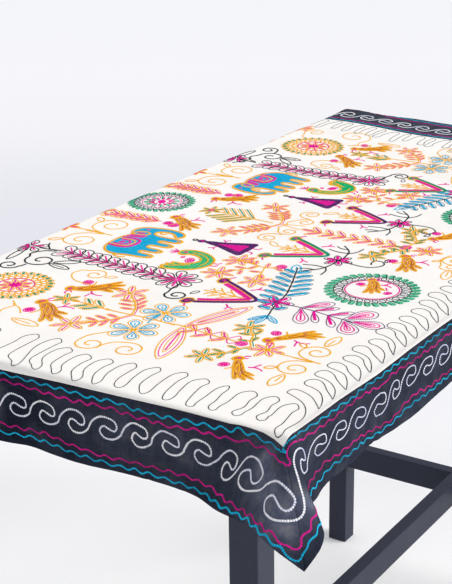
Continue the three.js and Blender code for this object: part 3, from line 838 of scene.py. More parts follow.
def elephant(k):
    body = [(9, 40), (5, 60), (11, 80), (28, 94), (52, 99), (77, 98), (94, 92), (104, 99), (118, 101), (130, 93), (137, 76), (140, 54),
            (138, 33), (130, 19), (118, 15), (112, 22), (118, 28), (126, 37), (126, 53), (119, 63), (110, 60), (105, 48), (105, 30), (104, 8),
            (99, 3), (92, 4), (89, 14), (88, 31), (84, 35), (80, 30), (79, 12), (75, 3), (68, 4), (65, 13), (64, 32), (58, 37), (52, 31),
            (51, 12), (47, 3), (40, 4), (37, 13), (36, 30), (31, 34), (27, 28), (26, 10), (22, 3), (15, 4), (12, 14)]
    k.fill("cyan", body, 0, w=3.0, gap=1.8)
    k.line("orange", body, 2.7, closed=True, lift=0.3)
    rug = [(37, 95), (36, 74), (40, 62), (56, 58), (73, 62), (77, 75), (76, 96)]
    k.line("magenta", rug, 2.8, lift=0.5)
    k.line("orange", [(42, 93), (41, 76), (45, 67), (56, 64), (68, 67), (71, 77), (70, 94)], 1.8, lift=0.5)
    k.line("magenta", [(46, 92), (46, 77), (56, 70), (66, 77), (66, 92)], 2.2, lift=0.5)
    k.fill("magenta", oval(56, 83, 6, 5), 45, lift=0.5)
    for x in (84, 90):
        k.line("magenta", [(x, 94), (x + 2, 78), (x + 6, 66)], 2.3, lift=0.5)
    k.line("orange", [(96, 90), (98, 76), (106, 68), (113, 74), (111, 88), (103, 93)], 1.9, closed=True, lift=0.5)
    k.line("pink", [(103, 88), (105, 76)], 2.6, curve=False, lift=0.5)
    k.fill("magenta", oval(124, 83, 3.4, 3.0, 8), 0, lift=0.6)
    k.line("orange", [(5, 62), (-2, 54), (-3, 44), (1, 38)], 2.2, lift=0.2)
    k.line("orange", [(121, 58), (116, 50), (120, 45)], 1.8, lift=0.5)
    for x in (18, 43, 71, 95):
        k.line("orange", [(x - 4, 9), (x + 5, 9)], 1.7, curve=False, lift=0.4)


def bird(k, thin=False):
    slim, bow = (0.74, 0.006) if thin else (1.0, 0.0)

    def f(pts):
        return [((x - 5) * slim + 5 + bow * (y - 18) ** 2 - 2 * (slim < 1), y * (1.1 if thin else 1.0)) for x, y in pts]

    body = f([(5, 44), (1, 36), (-3, 25), (-8, 13), (-15, 1), (-24, -11), (-26, -17), (-20, -15), (-12, -5), (-14, -15), (-14, -24), (-9, -20), (-4, -6),
              (-2, -16), (2, -25), (5, -18), (4, -3), (10, -10), (15, -14), (15, -7), (11, 4), (14, 14), (16, 24), (16, 34), (13, 42)])
    k.fill("rust", body, 66, w=2.5, inset=0.6)
    for line in ([(8, 36), (2, 22), (-6, 6), (-17, -9)], [(12, 28), (7, 12), (2, -4), (1, -15)]):
        k.line("umber", f(line), 0.85, lift=0.16)
    k.line("orange", f([(8, 30), (1, 21), (-5, 9), (-8, 0), (-2, 4), (5, 13), (8, 22)]), 1.2, closed=True, lift=0.4)
    k.line("orange", body, 1.5, closed=True, lift=0.3)
    h = f([(9, 47)])[0]
    k.fill("rust", oval(h[0], h[1], 7.5, 6.0), 0, lift=0.15)
    k.line("orange", oval(h[0], h[1], 8.4, 6.8), 1.8, closed=True, lift=0.3)
    k.fill("magenta", oval(h[0] + 1, h[1], 4.6, 3.2, 8), 0, lift=0.45)
    k.line("pink", [(h[0] + 8, h[1] + 1), (h[0] + 14, h[1] + 4), (h[0] + 20, h[1] + 2)], 1.8)
    k.line("magenta", [(h[0] + 8, h[1] - 2), (h[0] + 14, h[1] - 5)], 1.6, curve=False)
    b = (-18, 30) if not thin else (-14, 36)
    k.fill("magenta", oval(b[0], b[1], 7.6, 6.2, 12, 8), 8)
    k.line("pink", oval(b[0], b[1], 8.4, 7.0, 12, 8), 1.3, closed=True)
    k.line("orange", f([(-4, 23), (-12, 19), (-22, 19)]), 1.7)
    k.line("magenta", [(16, 16), (23, 13), (29, 9)], 1.8)
    k.line("magenta", [(22, 13), (30, 17), (37, 20)], 1.7)
    k.line("magenta", [(27, 10), (31, 3), (31, -3)], 1.6)


def peacock(k):
    body = [(21, 42), (30, 47), (39, 42), (44, 28), (42, 8), (33, -9), (17, -22), (-4, -25), (-24, -16), (-37, 2), (-42, 22), (-44, 34), (-38, 30),
            (-34, 37), (-29, 29), (-24, 35), (-21, 25), (-15, 29), (-14, 15), (-7, 3), (6, -3), (18, 2), (25, 14), (26, 27), (20, 33)]
    k.fill("green", body, 12)
    k.line("orange", body, 2.2, closed=True, lift=0.3)
    k.line("orange", [(-10, -14), (8, -15), (24, -6), (33, 10), (34, 26)], 1.5, lift=0.35)
    for x, y, d in ((-28, 22, 115), (-22, 14, 110), (-16, 8, 105)):
        k.line("orange", ray(x, y, d, -9, 8), 1.4, curve=False, lift=0.35)
    k.fill("magenta", oval(31, 37, 4.5, 3.2, 8), 20, lift=0.45)
    k.fill("magenta", oval(4, 12, 8.5, 5.0, 12, 20), 20)
    k.line("pink", oval(4, 12, 10, 6.4, 12, 20), 1.5, closed=True)
    k.fill("magenta", oval(11, 29, 5.6, 3.8, 10, -10), 0)
    for d in (60, 90, 120, 150):
        k.line("pink", ray(30, 47, d, 1, 12), 1.7, curve=False)
        k.fill("magenta", oval(*ray(30, 47, d, 0, 14)[1], 1.8, 1.5, 6), 0, inset=0.2)
    for x in (-2, 9):
        k.line("magenta", [(x, -25), (x + 2, -33), (x + 8, -36)], 1.7)


def hen(k):
    """A long-necked bird seen with its bell of tail feathers below it."""
    bell = [(0, 46), (-5, 34), (-9, 18), (-16, 1), (-24, -17), (-28, -28), (-24, -31), (-12, -31), (0, -32), (12, -31), (24, -31), (28, -28), (24, -17), (16, 1), (9, 18), (5, 34)]
    inner = [(0, 24), (-5, 10), (-10, -5), (-15, -19), (-13, -23), (0, -23.5), (13, -23), (15, -19), (10, -5), (5, 10)]
    k.fill("purple", bell, 90)
    k.line("purple", bell, 2.2, closed=True, lift=0.15)
    k.fill("magenta", inner, 0, lift=0.35)
    k.fill("purple", oval(0, 52, 6.5, 7.5), 90, lift=0.1)
    k.fill("magenta", oval(0, 51, 2.6, 3.2, 8), 90, lift=0.4)
    k.line("black", oval(0, 64, 3.4, 4.0, 8), 1.4, closed=True)
    k.line("black", [(0, 60), (0, 57)], 1.4, curve=False)
    for s in (-1, 1):
        k.line("pink", [(s * 8, 16), (s * 17, 20), (s * 24, 15)], 1.7)
        k.line("pink", [(s * 17, 20), (s * 22, 27)], 1.5, curve=False)
        k.line("magenta", [(s * 8, -33), (s * 9, -42), (s * 16, -45)], 1.7)


def lyre(k, thread):
    """Two long-necked birds back to back, their tails meeting below a little tree."""
    for s in (-1, 1):
        outer = [(0, -28), (s * 9, -22), (s * 23, 0), (s * 37, 24), (s * 49, 47), (s * 53, 58)]
        for off, col, w in ((0, thread, 3.0), (-2.6, thread, 2.4), (-5.6, "orange", 1.6), (-8.6, "magenta", 2.8), (-11.4, "magenta", 2.4), (-14.0, "pink", 2.2)):
            n = len(outer)
            keep = outer if off > -6 else outer[:-1]
            k.line(col, [(x + s * off * 0.86, y - off * 0.46) for x, y in keep][(0 if off > -4 else 1):], w)
        k.fill(thread, oval(s * 51, 63, 11.5, 8.6, 12, s * 10), 0, lift=0.1)
        k.line("orange", oval(s * 51, 63, 12.4, 9.6, 12, s * 10), 1.5, closed=True, lift=0.2)
        k.fill("magenta", oval(s * 52, 63, 5.2, 3.8, 8, s * 10), 0, lift=0.4)
        k.line("pink", [(s * 63, 60), (s * 73, 54)], 1.8, curve=False)
        k.line("magenta", [(s * 34, 4), (s * 43, -4), (s * 54, -5)], 1.8)
        k.line("magenta", [(s * 43, -4), (s * 46, -15)], 1.8, curve=False)
    k.line("orange", [(0, -8), (0, 20), (0, 66)], 1.9)
    for y, l in ((8, 22), (26, 20), (42, 15)):
        for s in (-1, 1):
            k.line("orange", [(0, y), (s * l * 0.5, y + l * 0.62), (s * l, y + l * 1.05)], 1.7)
            k.line("orange", [(s * l * 0.5, y + l * 0.62), (s * l * 0.42, y + l * 1.1)], 1.4, curve=False)


def rosette(k, r=54):
    s = r / 54
    for i in range(8):
        k.line("magenta", ray(0, 0, i * 45 + 10, 1, 10 * s), 3.2, curve=False)
    for i in range(9):
        d = i * 40
        k.line("orange", loop(*ray(0, 0, d, 0, 9 * s)[1], d, 15 * s, 8 * s), 1.5, closed=True)
        k.line("pink", ray(0, 0, d, 12 * s, 22 * s), 2.0, curve=False, lift=0.1)
    k.line("pink", oval(0, 0, 27 * s, 27 * s, 24), 1.7, closed=True)
    for rr, n, a, b in ((32.5, 22, 5.0, 3.9), (40.5, 28, 4.8, 3.9)):
        for i in range(n):
            d = (i + 0.5 * (rr > 36)) * 360 / n
            x, y = ray(0, 0, d, 0, rr * s)[1]
            k.line("orange", oval(x, y, a * s, b * s, 8, d), 1.35, closed=True)
    n = 27
    for i in range(n):
        d = i * 360 / n
        x, y = ray(0, 0, d, 0, 49 * s)[1]
        k.line("orange", oval(x, y, 6.0 * s, 4.7 * s, 8, d), 1.45, closed=True)
        k.line("teal", ray(0, 0, d, 46.5 * s, 52.5 * s), 2.6, curve=False, lift=0.1)


def medallion(k, r=68, inner="bird"):
    s = r / 68
    n = 34 if r > 60 else 30
    for i in range(n):
        d = i * 360 / n
        x, y = ray(0, 0, d, 0, 60 * s)[1]
        leaf = oval(x, y, 7.6 * s, 5.0 * s, 10, d + 14)
        k.fill("mint", leaf, d + 14, w=2.6, gap=1.8, inset=0.2)
        k.line("black", ray(*ray(0, 0, d + 180 / n, 0, 53 * s)[1], d + 24, 0, 13 * s), 0.8, curve=False, pitch=2.0, lift=0.2)
    k.line("black", oval(0, 0, 53 * s, 53 * s, 30), 0.8, closed=True, pitch=2.0)
    n = 28
    for i in range(n):
        d = (i + 0.5) * 360 / n
        x, y = ray(0, 0, d, 0, 46.5 * s)[1]
        k.line("black", oval(x, y, 5.2 * s, 3.7 * s, 8, d + 18), 0.8, closed=True, pitch=2.0)
        k.line("white", ray(0, 0, d, 44 * s, 49 * s), 1.4, curve=False)
    if inner == "bird":
        k.line("black", oval(0, 0, 40.5 * s, 40.5 * s, 26), 0.75, closed=True, pitch=2.0)
        k.line("pink", oval(0, 0, 37.5 * s, 37.5 * s, 26), 1.6, closed=True)
        bird(k.sub(5 * s, -1 * s, -46, 0.74 * s))
        k.fill("magenta", oval(-3 * s, -25 * s, 7.5 * s, 6.0 * s, 10), 20)
        k.line("magenta", ray(6 * s, -20 * s, 35, 0, 12), 1.6, curve=False)
    else:
        k.line("pink", oval(0, 0, 38 * s, 38 * s, 24), 1.2, closed=True)
        for rr in (31, 22):
            for i in range(12):
                d = i * 30 + rr
                k.line("mint" if rr > 25 else "pink", ray(0, 0, d, (rr - 8) * s, (rr + 4) * s), 2.6, curve=False)
                k.line("black", ray(0, 0, d + 9, (rr - 7) * s, (rr + 4) * s), 0.75, curve=False, pitch=2.0)
        k.fill("magenta", oval(0, 0, 12 * s, 8 * s, 10, 30), 30, lift=0.3)


def branch(k, length, pairs, leaf, wide, rim, heart, stem, spread=48, tail=True, w=1.6, first=0.08, double=False, shape=loop):
    """A straight stem with pairs of looped leaves."""
    k.line(stem, [(0, 0), (1.5, length * 0.3), (-1, length * 0.65), (0, length)], w + 0.2, shaky=0.3)
    for i in range(pairs):
        y = length * (first + (0.94 - first) * i / max(1, pairs - 1))
        for s in (-1, 1):
            d = 90 - s * spread
            yy = y + (s * 1.8)
            l = leaf * (1.0 - 0.12 * (i % 2))
            k.line(rim, shape(0, yy, d, l, wide), w, closed=True)
            if double:
                k.line(heart, loop(*ray(0, yy, d, 0, l * 0.16)[1], d, l * 0.7, wide * 0.5), w + 0.2, closed=True)
            k.line(heart, ray(0, yy, d, l * 0.05, l * 0.8), w + 0.6, curve=False, lift=0.12)
    if tail:
        k.line(rim, loop(0, length, 90, leaf * 0.9, wide), w, closed=True)
        k.line(heart, ray(0, length, 90, leaf * 0.15, leaf * 0.76), w + 0.8, curve=False)


def sprig(k, height, tip, rim="orange", reach=26, w=1.8):
    """An upright stalk with opposite side shoots, each tipped with short bright strokes."""
    k.line(rim, [(0, 0), (0.8, height * 0.5), (0, height)], w + 0.3, shaky=0.25)
    n = max(2, int(height / 17))
    for i in range(n):
        y = height * (0.22 + 0.66 * i / n)
        l = reach * (1 - 0.45 * i / n)
        for s in (-1, 1):
            k.line(rim, [(0, y), (s * l * 0.5, y + l * 0.28), (s * l, y + l * 0.52)], w)
            k.line(tip, [(s * l * 0.42, y + l * 0.30), (s * l * 0.98, y + l * 0.60)], w + 0.5, curve=False)
    burst(k, 0, height + 3, 13, 5, rim, tip, start=90)


def vine(k, size=1.0, leaf=True, colour="orange", w=1.6):
    """A stalk that opens into two curls."""
    k.line(colour, [(0, -24 * size), (0.5, -6 * size), (0, 10 * size)], w + 0.2)
    for s in (-1, 1):
        a = curl(27 * size, -5 * size, 20 * size, 4 * size, 90, 1.4, side=-1)
        if s < 0:
            a = a * [-1, 1]
        k.line(colour, np.concatenate([[(s * 1.0, -14 * size), (s * 6 * size, 3 * size), (s * 15 * size, 13 * size)], a]), w)
        if leaf:
            k.line(colour, loop(s * 33 * size, 14 * size, 90 - s * 42, 15 * size, 7 * size), w, closed=True)


def s_curl(k, r=20.0, colour="orange", w=1.6):
    """Two curls joined, one over the other."""
    up = curl(-0.1 * r, 0.45 * r, r * 1.08, r * 0.22, 75, 1.35, side=1)
    k.line(colour, np.concatenate([[(r * 2.3, r * 0.5), (r * 1.1, r * 1.38)], up]), w)
    low = curl(r * 0.2, -r * 2.1, r * 1.12, r * 0.24, 20, 1.4, side=-1)
    k.line(colour, np.concatenate([[(-r * 0.5, -r * 0.28), (r * 0.15, -r * 0.36), (r * 0.85, -r * 0.75)], low]), w)


def vee(k, wide, tall, tip, r=27, leaves=3, leaf=21, flat=0.28):
    """Two arms that open from one stalk, with narrow leaves, each ending in an open flower."""
    for s in (-1, 1):
        arm = np.array([(0, 0), (s * wide * 0.3, tall * flat * 0.6), (s * wide * 0.6, tall * 0.46), (s * wide * 0.88, tall * 0.84)])
        k.line(tip, arm + [s * 1.2, -3.0], 1.1)
        k.line("orange", arm, 1.6, lift=0.1)
        for i in range(leaves):
            t = 0.26 + 0.36 * i / max(1, leaves - 1)
            x = np.interp(t, [0, .3, .6, .88], arm[:, 0])
            y = np.interp(t, [0, .3, .6, .88], arm[:, 1])
            for d in (98 if s > 0 else 82, -6 if s > 0 else 186):
                l = leaf * (1 if i % 2 else 0.88)
                k.line("orange", loop(x, y, d, l, 6.4), 1.4, closed=True)
                k.line(tip, ray(x, y, d, l * 0.24, l * 0.86), 1.6, curve=False, lift=0.1)
        burst(k, s * wide, tall, r, 6, "orange", tip, start=20 + 8 * s)


def posy(k, petals="sky", rim="orange", r=33, n=6):
    """A round flower of looped petals, each with a turn of another thread inside."""
    for i in range(n):
        d = 90 + i * 360 / n + 6 * math.sin(i * 3.1)
        x, y = ray(0, 0, d, 0, 2)[1]
        k.line(rim, club(x, y, d, r, r * 0.56), 1.25, closed=True)
        k.line(petals, club(*ray(0, 0, d, 0, r * 0.24)[1], d, r * 0.68, r * 0.34), 1.45, closed=True)
        k.line(petals, ray(0, 0, d, r * 0.45, r * 0.76), 1.3, curve=False)
    k.fill(rim, oval(0, 0, 4.0, 3.6, 8), 20)


def long_leaf(k, deg, length, wide):
    k.line("orange", loop(0, 0, deg, length, wide), 1.35, closed=True)
    k.line("pink", loop(*ray(0, 0, deg, 0, length * 0.05)[1], deg, length * 0.88, wide * 0.70), 1.15, closed=True)
    k.line("orange", loop(*ray(0, 0, deg, 0, length * 0.18)[1], deg, length * 0.62, wide * 0.36), 1.1, closed=True)
    k.line("magenta", ray(0, 0, deg, length * 0.2, length * 0.74), 1.6, curve=False)


def twig(k, blossom="magenta"):
    """A bare forked twig with a flower and a hooked foot."""
    k.line("black", [(-1, -8), (-5, -26), (-5, -48), (4, -60), (16, -64), (26, -58), (27, -48), (17, -44), (8, -48)], 1.25, shaky=0.3)
    k.line("black", loop(27, -62, 8, 15, 7), 1.1, closed=True)
    for s in (-1, 1):
        k.line("black", [(0, 0), (s * 24, 2), (s * 46, 8), (s * 66, 26)], 1.35, shaky=0.3)
        k.line("black", [(s * 34, 4), (s * 48, -4), (s * 66, -6)], 1.25)
        k.line("black", [(s * 36, 5), (s * 35, 20), (s * 40, 38)], 1.25)
        k.line("black", [(s * 52, 12), (s * 52, 24), (s * 58, 34)], 1.2)
    for i in range(6):
        d = 30 + i * 60
        k.line("black", loop(0, 2, d, 23, 10), 0.9, closed=True)
        k.line(blossom, ray(0, 2, d, 5, 18), 3.4, curve=False)


def scrawl(k):
    """Dark curling tendrils with open leaves, beside the top of a long branch."""
    k.line("black", np.concatenate([[(-3, 0), (-12, 18), (-30, 27)], curl(-47, -6, 27, 5, 78, 1.35, side=1)]), 1.55, shaky=0.3)
    k.line("black", np.concatenate([[(-72, 2), (-84, 3)], curl(-86, 22, 18, 4, -80, 1.3, side=-1)]), 1.55, shaky=0.3)
    k.line("black", loop(-53, -26, 262, 40, 14), 1.2, closed=True)
    k.line("black", [(-54, -32), (-57, -56)], 0.9, curve=False)
    k.line("black", loop(-46, -28, 300, 40, 13), 1.2, closed=True)
    k.line("black", loop(-14, 50, 189, 56, 11), 1.2, closed=True)


def dot(k, x, y, rx=5.5, ry=4.2):
    k.fill("magenta", oval(x, y, rx, ry, 10), 0)
    k.line("pink", oval(x, y, rx + 0.9, ry + 0.9, 10), 1.3, closed=True)


# -------------------------------------------------------------- the panel's layout
def panel_half(flip):
    """One end of the panel, laid out again in mirror image at the other end."""
    def at(x, y, deg=0.0, s=1.0, turned=False, far=(0, 0)):
        if flip:   # the far end isn't quite the mirror image of the near one
            x, y = 1304 - x + far[0], y + far[1]
        k = Pen(x, y, deg, s, flip != turned)
        return k

    rosette(at(217, 575, far=(5, 15)), 61 if flip else 54)
    bird(at(156, 460, -24, 1.02, far=(8, 14)))
    bird(at(272, 458, -22, 1.02, True, far=(8, 14)))
    k = at(208, 408, far=(9, 9))
    k.line("orange", [(-4, -8), (0, 30), (2, 62)], 1.7, shaky=0.2)
    burst(k, 2, 70, 22, 6, "orange", "teal", start=88)
    for y, l in ((6, 28), (24, 25)):
        for s in (-1, 1):
            for dy in (0, 7):
                k.line("orange", loop(0, y + dy, 90 - s * 44, l, 5.5), 1.3, closed=True)
            k.line("teal", ray(0, y + 3, 90 - s * 44, 5, l - 2), 2.2, curve=False, lift=0.1)
    k = at(206, 366, far=(11, 4))
    k.line("orange", [(-2, -70), (1, -30), (0, 0), (-1, 22), (1, 44)], 1.9, shaky=0.2)
    vee(k, 66, 50, "pink", 29, 3, 25)
    posy(at(164, 332, far=(13, 2)), "sky")
    posy(at(234, 331, 14, far=(13, 2)), "sky")
    k = at(206, 334, far=(12, 2))
    k.line("sky", [(-14, -4), (4, 0), (22, 1)], 1.7)
    s_curl(at(100, 342, far=(10, 0)), 20)
    k = at(206, 282)
    k.line("orange", [(0, 20), (1, -2), (-6, -40), (-10, -88)], 1.8, shaky=0.2)
    long_leaf(k, -20, 112, 27)
    long_leaf(k, 197, 112, 28)
    for y, l in ((-20, 24), (-44, 26), (-70, 24)):
        for s in (-1, 1):
            k.line("orange", loop(-2 + y * 0.09, y, 90 - s * 46, l, 7.5), 1.4, closed=True)
            k.line("pink", ray(-2 + y * 0.09, y, 90 - s * 46, 4, l - 4), 1.5, curve=False, lift=0.1)
            k.line("pink", [(-2 + y * 0.09, y), (s * 14 + y * 0.09, y - 10), (y * 0.09 - 1, y - 20)], 1.3)
    dot(at(193, 187), 0, 0, 7, 6.5)
    vee(at(191, 172), 55, 36, "teal", 24, 2, 20, 0.5)
    bird(at(112, 140, -44, 0.86), True)
    bird(at(258, 134, -40, 0.92, True), True)
    burst(at(192, 149), 0, 0, 26, 7, "orange", "pink")
    k = at(187, 96)
    k.line("orange", [(1, 36), (1, 14), (0, -14)], 1.6)
    vine(k, 1.08)
    for s in (-1, 1):
        k.line("orange", loop(s * 52, -4, 90 - s * 92, 38, 15), 1.5, closed=True)
        k.line("orange", ray(s * 52, -4, 90 - s * 92, 5, 24), 1.4, curve=False)
    k = at(108, 557, far=(2, 0))
    k.line("orange", np.concatenate([[(60, -20), (46, -34)], curl(0, 0, 40, 5, -48, 1.6, side=-1)]), 1.6)
    k.line("orange", [(50, -28), (42, -46), (28, -60)], 1.5)
    k.line("orange", loop(8, -62, -96, 48, 17), 1.5, closed=True)
    k.line("orange", ray(8, -62, -96, 5, 34), 1.4, curve=False)
    k = at(122, 640)
    k.line("orange", np.concatenate([[(50, -22), (40, 4), (20, 12)], curl(0, -2, 22, 4, 60, 1.4, side=1)]), 1.6)
    k.line("orange", loop(-14, 20, 120, 24, 9), 1.3, closed=True)
    burst(at(106, 676), 0, 0, 27, 6, "orange", "pink")
    k = at(304, 506)
    k.line("orange", np.concatenate([[(-34, -26), (-28, 10), (-8, 30), (10, 26)], curl(4, -2, 20, 4, 60, 1.4, side=-1)]), 1.6)
    k.line("orange", loop(2, -20, -60, 18, 8), 1.3, closed=True)

    # long pink branch with dark rims, hanging from the deep side
    k = at(370, 616, 180 - 5.3)
    branch(k, 212, 11, 33, 17, "black", "pink", "pink", spread=138, tail=False, w=1.08, first=0.12, shape=club)
    k = at(350, 392)
    for i in range(8):
        d = 20 + i * 45
        k.line("black", club(*ray(0, 0, d, 0, 5)[1], d, 31 - 3 * (i % 2), 15), 1.08, closed=True)
        k.line("pink", ray(0, 0, d, 2, 27), 2.0 if flip else 2.5, curve=False, lift=0.12)
    k = at(334, 386)
    k.line("black", np.concatenate([[(8, -8), (-14, -8), (-34, -12)], curl(-36, -29, 18, 4, 95, 1.4, side=1)]), 1.5)
    k.line("black", loop(-22, -42, -20, 16, 7), 0.95, closed=True)
    k = at(366, 618, far=(0, 8))
    k.line("black", [(2, -4), (-2, 18), (-3, 34)], 1.5)
    k.line("black", [(0, 16), (12, 28), (22, 34)], 1.4)
    scrawl(k)
    k = at(363, 668)
    for i, d in enumerate((20, 75, 125, 180, 235, 300)):
        k.line("black", club(*ray(0, 0, d, 0, 3)[1], d, 24, 12), 1.1, closed=True)
        k.line("magenta" if i % 2 else "pink", ray(0, 0, d, 4, 20), 2.6, curve=False)

    vine(at(466, 628), 1.5)
    burst(at(470, 684), 0, 0, 24, 6, "orange", "magenta", start=90, w=1.9)
    k.line("orange", [(106, -52), (107, -30), (106, -8)], 1.7)
    k = at(560, 668, 182)
    branch(k, 100, 6, 32, 11, "orange", "pink", "pink", spread=146, tail=False, w=1.4, first=0.2)
    burst(at(563, 682), 0, 0, 20, 5, "orange", "pink", start=90)
    elephant(at(392, 477))
    bird(at(568, 520, -20, 1.0))
    dot(at(556, 540), 0, 0, 8.5, 7.5)
    peacock(at(424, 411))
    hen(at(512, 405))
    # a loose bush of open flowers
    k = at(448, 308, 0)
    k.line("orange", [(16, -12), (8, 4), (12, 24), (16, 44)], 1.7, shaky=0.3)
    k.line("orange", [(8, 4), (-14, -4), (-40, -12)], 1.6)
    k.line("orange", [(10, 12), (-10, 26), (-34, 40)], 1.6)
    k.line("orange", [(12, -4), (18, -10), (22, -14)], 1.5)
    for x, y, d in ((8, 2, 15), (-12, -4, 100), (-18, -6, 215), (10, 16, 165), (10, 22, 20), (-8, 24, 95), (-16, 28, 200), (14, 30, 30), (14, -8, 250)):
        k.line("orange", loop(x, y, d, 20, 6.5), 1.3, closed=True)
        k.line("pink", ray(x, y, d, 5, 17), 1.6, curve=False, lift=0.1)
    burst(k, -44, 50, 27, 7, "orange", "pink")
    burst(k, 17, 52, 27, 7, "orange", "pink")
    burst(k, -48, -14, 27, 6, "orange", "pink")
    dot(k, 23, -15, 8, 6.5)
    lyre(at(334, 276, 0, 0.9, far=(-9, 0)), "teal" if flip else "purple")
    lyre(at(549, 284, 0, 0.9, far=(-14, 0)), "purple" if flip else "teal")
    # a dark-stemmed branch of blue strokes
    k = at(283, 205, 0)
    k.line("black", [(0, 0), (44, 14), (92, 24), (140, 42), (196, 66)], 1.2, shaky=0.3)
    for i in range(9):
        x = 34 + 17.5 * i
        y = np.interp(x, [0, 44, 92, 140, 196], [0, 14, 24, 42, 66])
        l = (22, 34, 36, 37, 36, 35, 33, 29, 24)[i]
        for d in (84 - 2 * i, -40):
            if i == 1 and d < 0 or i == 2 and d < 0:
                continue
            ll = l * (1.0 if d > 0 else 0.94)
            k.line("sky", ray(x, y, d, 4, ll - 2), 3.3, curve=False)
            k.line("black", loop(x, y, d, ll + 1, 11), 0.62, closed=True, pitch=2.0)
    k.line("sky", loop(178, 58, 28, 32, 14), 1.6, closed=True)
    k.line("sky", ray(178, 58, 28, 8, 24), 1.4, curve=False)
    for d, l in ((150, 30), (178, 34), (232, 30)):
        k.line("sky", loop(12, 4, d, l, 8), 1.6, closed=True)
        k.line("sky", ray(12, 4, d, 8, l - 6), 1.4, curve=False)
    # a branch of big looped leaves
    k = at(342, 222)
    k.line("purple", [(0, 0), (0, -40), (-6, -80), (-12, -120)], 1.4, shaky=0.3)
    for i, (y, l, wide) in enumerate(((-36, 56, 20), (-56, 42, 10), (-80, 42, 11))):
        x = (0, -2, -6)[i]
        for s in (-1, 1):
            ll = l * (1 if s < 0 else 0.84)
            d = (209, 213, 216)[i] if s < 0 else (-40, -44, -46)[i]
            k.line("purple", club(x, y, d, ll, wide), 1.0, closed=True)
            if i == 0:
                k.line("pink", club(*ray(x, y, d, 0, ll * 0.16)[1], d, ll * 0.7, wide * 0.55), 1.3, closed=True)
            k.line("magenta" if s < 0 else "pink", ray(x, y, d, ll * 0.1, ll * 0.8), 3.0 if i else 1.8, curve=False)
    for d, l, wide in ((218, 52, 27), (-34, 50, 29), (274, 50, 27)):
        x, y = (-9, -104) if d != 274 else (-11, -112)
        k.line("purple", club(x, y, d, l, wide), 1.0, closed=True)
        k.line("pink", club(*ray(x, y, d, 0, 8)[1], d, l - 14, wide * 0.62), 1.5, closed=True)
        k.line("pink", club(*ray(x, y, d, 0, 16)[1], d, l - 28, wide * 0.28), 1.3, closed=True)
        k.line("magenta", ray(x, y, d, 8, l - 16), 1.4, curve=False, lift=0.2)
    for i in range(6):
        d = 40 + i * 60
        k.line("purple", loop(0, 4, d, 27, 12), 1.0, closed=True)
        k.line("magenta", ray(0, 4, d, 4, 21), 3.4, curve=False)
    medallion(at(452, 137, far=(-8, 0)), 68, "bird")
    twig(at(536, 234, far=(-20, 2)))
    k = at(579, 202)
    burst(k, 0, 0, 25, 6, "orange", "teal", start=30)
    k.line("orange", [(0, 0), (24, -12), (44, -24), (68, -26), (78, -24)], 1.7)
    for x, y in ((18, -8), (32, -18), (48, -25), (62, -26)):
        for d in (96, 18 if x < 40 else -150):
            k.line("orange", loop(x, y, d, 22, 7), 1.3, closed=True)
            k.line("teal", ray(x, y, d, 5, 18), 1.9, curve=False, lift=0.1)
    bird(at(566, 136, -46, 0.92), False)
    k = at(592, 84)
    k.line("orange", np.concatenate([[(50, 20), (26, 26), (8, 18)], curl(0, -2, 18, 4, 80, 1.4, side=1)]), 1.5)
    k.line("orange", loop(-12, -4, 194, 42, 15), 1.4, closed=True)
    k.line("orange", ray(-12, -4, 194, 5, 28), 1.3, curve=False)

    # over the deep side
    k = at(180, 700)
    vine(k, 1.1)
    burst(at(180, 738), 0, 0, 20, 6, "orange", "pink")
    bird(at(286, 706, -16, 0.8))
    sprig(at(455, 716), 22, "teal", reach=18)
    k = at(560, 722)
    posy(k, "sky", r=24)


def panel_middle():
    k = Pen(652, 630)
    medallion(k, 58, "star")
    k = Pen(650, 436)
    k.line("orange", [(-4, -26), (0, 20), (4, 92)], 1.9, shaky=0.2)
    for i, y in enumerate((10, 26, 42, 58)):
        l = 40 - 4 * i
        for s in (-1, 1):
            k.line("orange", [(0, y), (s * l * 0.5, y + l * 0.4), (s * l, y + l * 0.86)], 1.5)
            k.line("teal", [(s * 3, y + 5), (s * (l - 1), y + l * 0.86 + 4)], 1.6, curve=False)
            k.line("orange", [(s * 2, y + 9), (s * (l - 3), y + l * 0.86 + 7)], 1.3, curve=False)
    burst(k, 4, 96, 22, 6, "orange", "teal")
    k.fill("magenta", oval(4, 96, 7.5, 6, 10), 0, lift=0.3)
    vee(Pen(648, 398), 76, 52, "pink", 27, 4, 25)
    for s in (-1, 1):
        k = Pen(648, 372, 0, 1.0, s < 0)
        k.line("orange", [(0, 22), (6, 4), (10, -14)], 1.5)
        k.line("orange", np.concatenate([[(2, 14), (12, 20), (24, 16)], curl(28, -4, 17, 4, 90, 1.4, side=-1)]), 1.6)
        k.line("orange", np.concatenate([[(46, -4), (50, 14), (62, 24)], curl(70, 8, 17, 4, 110, 1.4, side=-1)]), 1.6)
        k.line("orange", loop(84, -6, -50, 26, 10), 1.4, closed=True)
    k = Pen(642, 182)
    branch(k, 148, 7, 30, 10, "orange", "pink", "orange", spread=44, w=1.4, double=False)
    dot(Pen(642, 178), 0, 0, 9, 7.5)
    burst(Pen(642, 142), 0, 0, 25, 7, "orange", "pink")
    vine(Pen(646, 92), 1.0)
    vine(Pen(652, 722), 1.1)


panel_half(False)
panel_half(True)
panel_middle()


